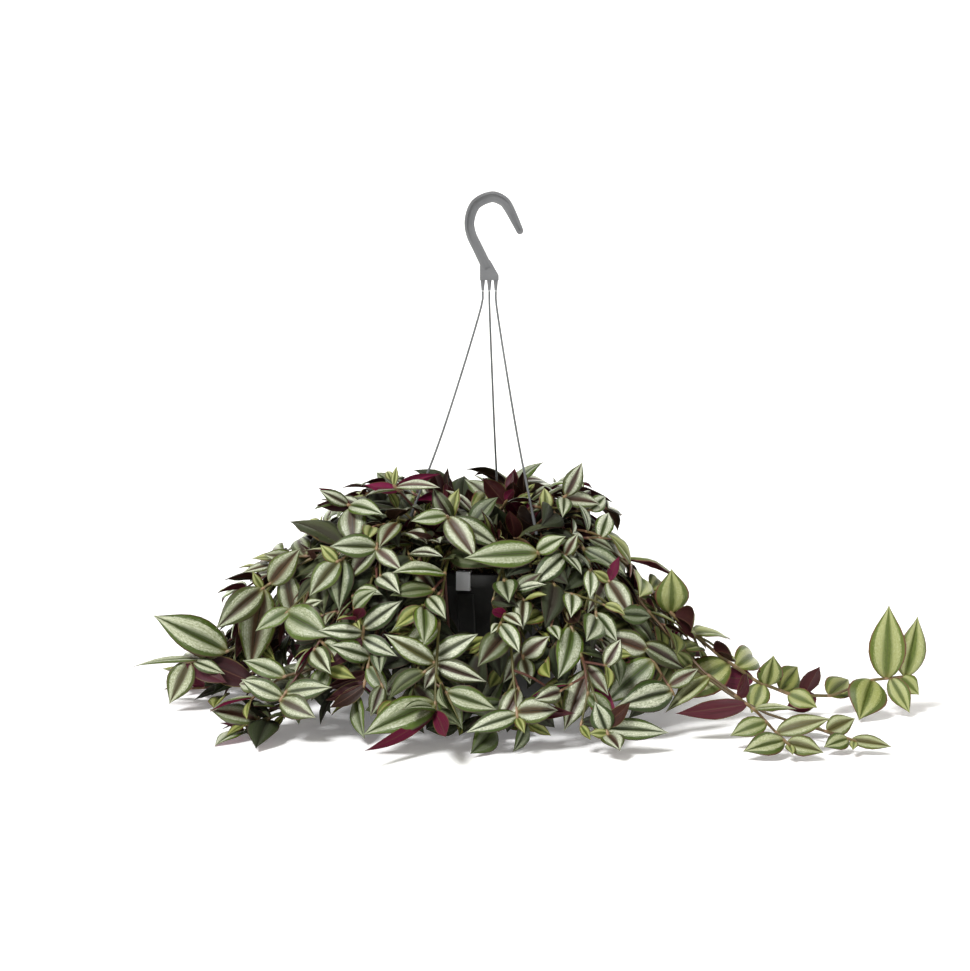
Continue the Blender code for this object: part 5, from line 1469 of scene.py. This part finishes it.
def hook_stroke(steps, inset, depth, offset=0.0, start=0.0):
    """(points, faces) of the hook's bent bar, its edges moved in by `inset`."""
    line = smooth_path([HOOK_BASE + Vector((x * MM, offset, z * MM)) for x, z, _ in HOOK_LINE], steps)
    halves = [half for *_, half in HOOK_LINE]
    points = []
    first = round(start * (steps - 1))
    for i in range(first, steps):
        share = i / (steps - 1)
        x = share * (len(halves) - 1)
        k = min(int(x), len(halves) - 2)
        half = (halves[k] + (halves[k + 1] - halves[k]) * (x - k)) * MM - inset
        point, tangent = along(line, share)
        beside = Vector((0, 1, 0)).cross(tangent)
        for s, u in ((-1, -1), (1, -1), (1, 1), (-1, 1)):
            points.append(point + s * half * beside + Vector((0, 0.5 * depth * u, 0)))
    return points, closed_faces(steps - first, 4)


def prism(outline, origin, right, up, depth):
    """(points, faces) of an outline in the right-up plane, `depth` thick about that plane."""
    through = right.cross(up)
    points = [origin + x * right + y * up + s * 0.5 * depth * through
              for s in (-1, 1) for x, y in outline]
    n = len(outline)
    faces = [tuple(range(n)), tuple(reversed(range(n, 2 * n)))]
    faces += [(k, (k + 1) % n, (k + 1) % n + n, k + n) for k in range(n)]
    return points, faces


def dress_hook(material):
    """The moulded hook with its recessed faces, its block and its three cones, edges rounded."""
    depth = HOOK_THICKNESS
    hook = loose("hook_moulding", *hook_stroke(FINE_HOOK_STEPS, 0, depth))
    block = [(x * MM, z * MM) for x, z in HOOK_BLOCK]
    added = [loose("hook_block", *prism(block, HOOK_BASE, Vector((1, 0, 0)), UP, depth))]
    tip_x, tip_z, tip_radius = HOOK_LINE[-1]
    bpy.ops.mesh.primitive_cylinder_add(
        vertices=32, radius=tip_radius * MM, depth=depth, rotation=(math.pi / 2, 0, 0),
        location=HOOK_BASE + Vector((tip_x * MM, 0, tip_z * MM)))
    added.append(bpy.context.object)
    for k in (-1, 0, 1):
        bpy.ops.mesh.primitive_cone_add(
            vertices=24, radius1=CONE_TIP_RADIUS, radius2=CONE_TOP_RADIUS, depth=CONE_LENGTH + 1 * MM,
            location=HOOK_BASE + Vector((k * CONE_SPACING, 0, 0.5 * (1 * MM - CONE_LENGTH))))
        added.append(bpy.context.object)
    pockets = [loose("hook_pocket", *hook_stroke(FINE_HOOK_STEPS, HOOK_RIM_WIDTH, depth - HOOK_WEB,
                                                 s * 0.5 * depth, RECESS_START)) for s in (-1, 1)]
    join_and_cut(hook, added, pockets)
    round_edges(hook)
    own(hook, material, "hanger_hook", 40)


def strand_path(name, steps=STRAND_STEPS):
    """From just under its cone, straight down, then out to the rim."""
    top = HOOK_BASE + Vector((STRAND_CONES[name] * CONE_SPACING, 0, -CONE_LENGTH - GAP))
    end = polar(STRAND_AZIMUTHS[name], RIM_RADIUS - 2.2 * MM, POT_HEIGHT + 1.2 * MM)
    points = [top]
    for drop, run in STRAND_DROPS:
        points.append(Vector((top.x + (end.x - top.x) * run, top.y + (end.y - top.y) * run,
                              top.z + (end.z - top.z) * drop)))
    return smooth_path(points + [end], steps)


def clip_shape(azimuth):
    """(points, faces) of the C-shaped clip over the rim at an azimuth."""
    out = polar(azimuth, 1, 0)
    t, r = CLIP_THICKNESS, RIM_RADIUS + GAP
    top, low = POT_HEIGHT + GAP, POT_HEIGHT - SKIRT_DROP - GAP
    outline = ((r - 6 * MM, top), (r, top), (r, low), (r - 2.2 * MM, low), (r - 2.2 * MM, low - t),
               (r + t, low - t), (r + t, top + t - 0.6 * MM), (r + t - 0.6 * MM, top + t),
               (r - 6 * MM, top + t))
    return prism(outline, Vector((0, 0, 0)), out, UP, CLIP_WIDTH)


def round_clip(name, azimuth):
    clip = loose(name, *clip_shape(azimuth))
    round_edges(clip)
    return clip


def dress_strand(name, material):
    """A strand, thicker towards the clip at its end."""
    path = strand_path(name, FINE_STRAND_STEPS)
    thick = []
    for p in path:
        share = min(1.0, max(0.0, (TAIL_LENGTH - (path[-1] - p).length) / TAIL_TAPER))
        thick.append(STRAND_RADIUS + (TAIL_RADIUS - STRAND_RADIUS) * share)
    strand = loose(f"strand_{name}", *tube(path, thick, 12))
    join_and_cut(strand, [round_clip("strand_clip", STRAND_AZIMUTHS[name])], [])
    own(strand, material, "hanger_strand_" + name)


# ------------------------------------------------------------------ camera, light and floor

CAMERA_TARGET = Vector((0, 0, 0.18))
CAMERA_DISTANCE = 1.6
CAMERA_ELEVATION = 6
LENS = 72.07
# name, the way that it shines from, strength and angle in degrees
SUNS = (("key", (-0.5, -0.65, 1.0), 3.3, 16), ("fill", (0.8, -0.9, 0.7), 0.4, 60))
WHITE = (255, 255, 255)
HORIZON = (0.1, 0.3)  # heights on the unit sphere between which the horizon turns to sky
SKY = (0.24, 0.228, 0.192, 1)
FLOOR_SIZE = 60.0
FLOOR_BACK = 4.0  # distance of the backdrop that the floor rises to
FLOOR_BEND = 1.5  # radius of the bend between them
BACKDROP_HEIGHT = 5.0
FLOOR_GLOW = 0.14


def build_camera():
    camera = bpy.data.cameras.new("camera")
    camera.sensor_width, camera.lens = 36, LENS
    made = add_object("camera", camera)
    rise = math.radians(CAMERA_ELEVATION)
    made.location = CAMERA_TARGET + CAMERA_DISTANCE * Vector((0, -math.cos(rise), math.sin(rise)))
    made.rotation_euler = (CAMERA_TARGET - made.location).to_track_quat("-Z", "Y").to_euler()
    bpy.context.scene.camera = made


def build_light():
    """Two suns and a world that is white at the horizon, as the floor is, and dimmer above it."""
    world = bpy.data.worlds.new("studio")
    bpy.context.scene.world = world
    nodes = Nodes(world, "Background")
    parts = nodes.add("SeparateXYZ")
    nodes.fill(parts, nodes.add("TexCoord").outputs["Generated"])
    nodes.fill(nodes.shader, nodes.mix(nodes.step(parts.outputs[2], *HORIZON), WHITE, SKY))
    for name, way, strength, angle in SUNS:
        light = bpy.data.lights.new(name, "SUN")
        light.energy, light.angle = strength, math.radians(angle)
        add_object(name, light).rotation_euler = Vector(way).to_track_quat("Z", "Y").to_euler()
    bpy.context.scene.view_settings.view_transform = "Standard"


def build_floor():
    nodes = Nodes(bpy.data.materials.new("studio_floor"))
    soft = nodes.noise(nodes.add("TexCoord").outputs["Object"], 3.0)
    material = nodes.finish(nodes.mix(soft, (250, 250, 249), WHITE), 0.9,
                            Emission_Color=(1, 1, 1, 1), Emission_Strength=FLOOR_GLOW)
    bend = FLOOR_BACK - FLOOR_BEND
    outline = [(-FLOOR_SIZE, 0), *arc((bend, FLOOR_BEND), FLOOR_BEND, -90, 0, 9)]
    outline.append((FLOOR_BACK, BACKDROP_HEIGHT))
    points = [Vector((x, y, z)) for y, z in outline for x in (-FLOOR_SIZE, FLOOR_SIZE)]
    faces = [(2 * k, 2 * k + 1, 2 * k + 3, 2 * k + 2) for k in range(len(outline) - 1)]
    floor = loose("studio_floor", points, faces)
    floor.data.materials.append(material)
    floor.data.shade_smooth()


# ------------------------------------------------------------------ the scene

build_camera()
build_light()
build_floor()
OPEN_POINTS = open_strand_points()
plant_stems, plant_crowd = plan_plant()
leafy = (upper_material(), under_material(), stem_material())
shoots = {stem.name: side_shoots(stem, plant_crowd) for stem in plant_stems}
for stem in plant_stems:
    pose_leaves(stem, CURLED_LEAVES, " curls")
light_leaves([leaf for stem in plant_stems for part in (stem, *shoots[stem.name])
              for leaf in part.leaves])
for stem in plant_stems:
    leafy_piece(stem, shoots[stem.name], leafy)
dress_pot(plastic_material("pot_plastic", (30, 31, 29), (44, 45, 42), 0.42, dust=0.35))
dress_soil(soil_material())
dress_hook(plastic_material("hanger_plastic", (98, 99, 101), (112, 113, 115), 0.4))
strand_grey = plastic_material("strand_plastic", (84, 86, 88), (100, 102, 104), 0.42)
for strand_name in STRAND_AZIMUTHS:
    dress_strand(strand_name, strand_grey)
own(round_clip("front_clip", SPARE_CLIP_AZIMUTH),
    plastic_material("clip_plastic", (212, 214, 216), (224, 226, 228), 0.4),
    "rim_clip_front")
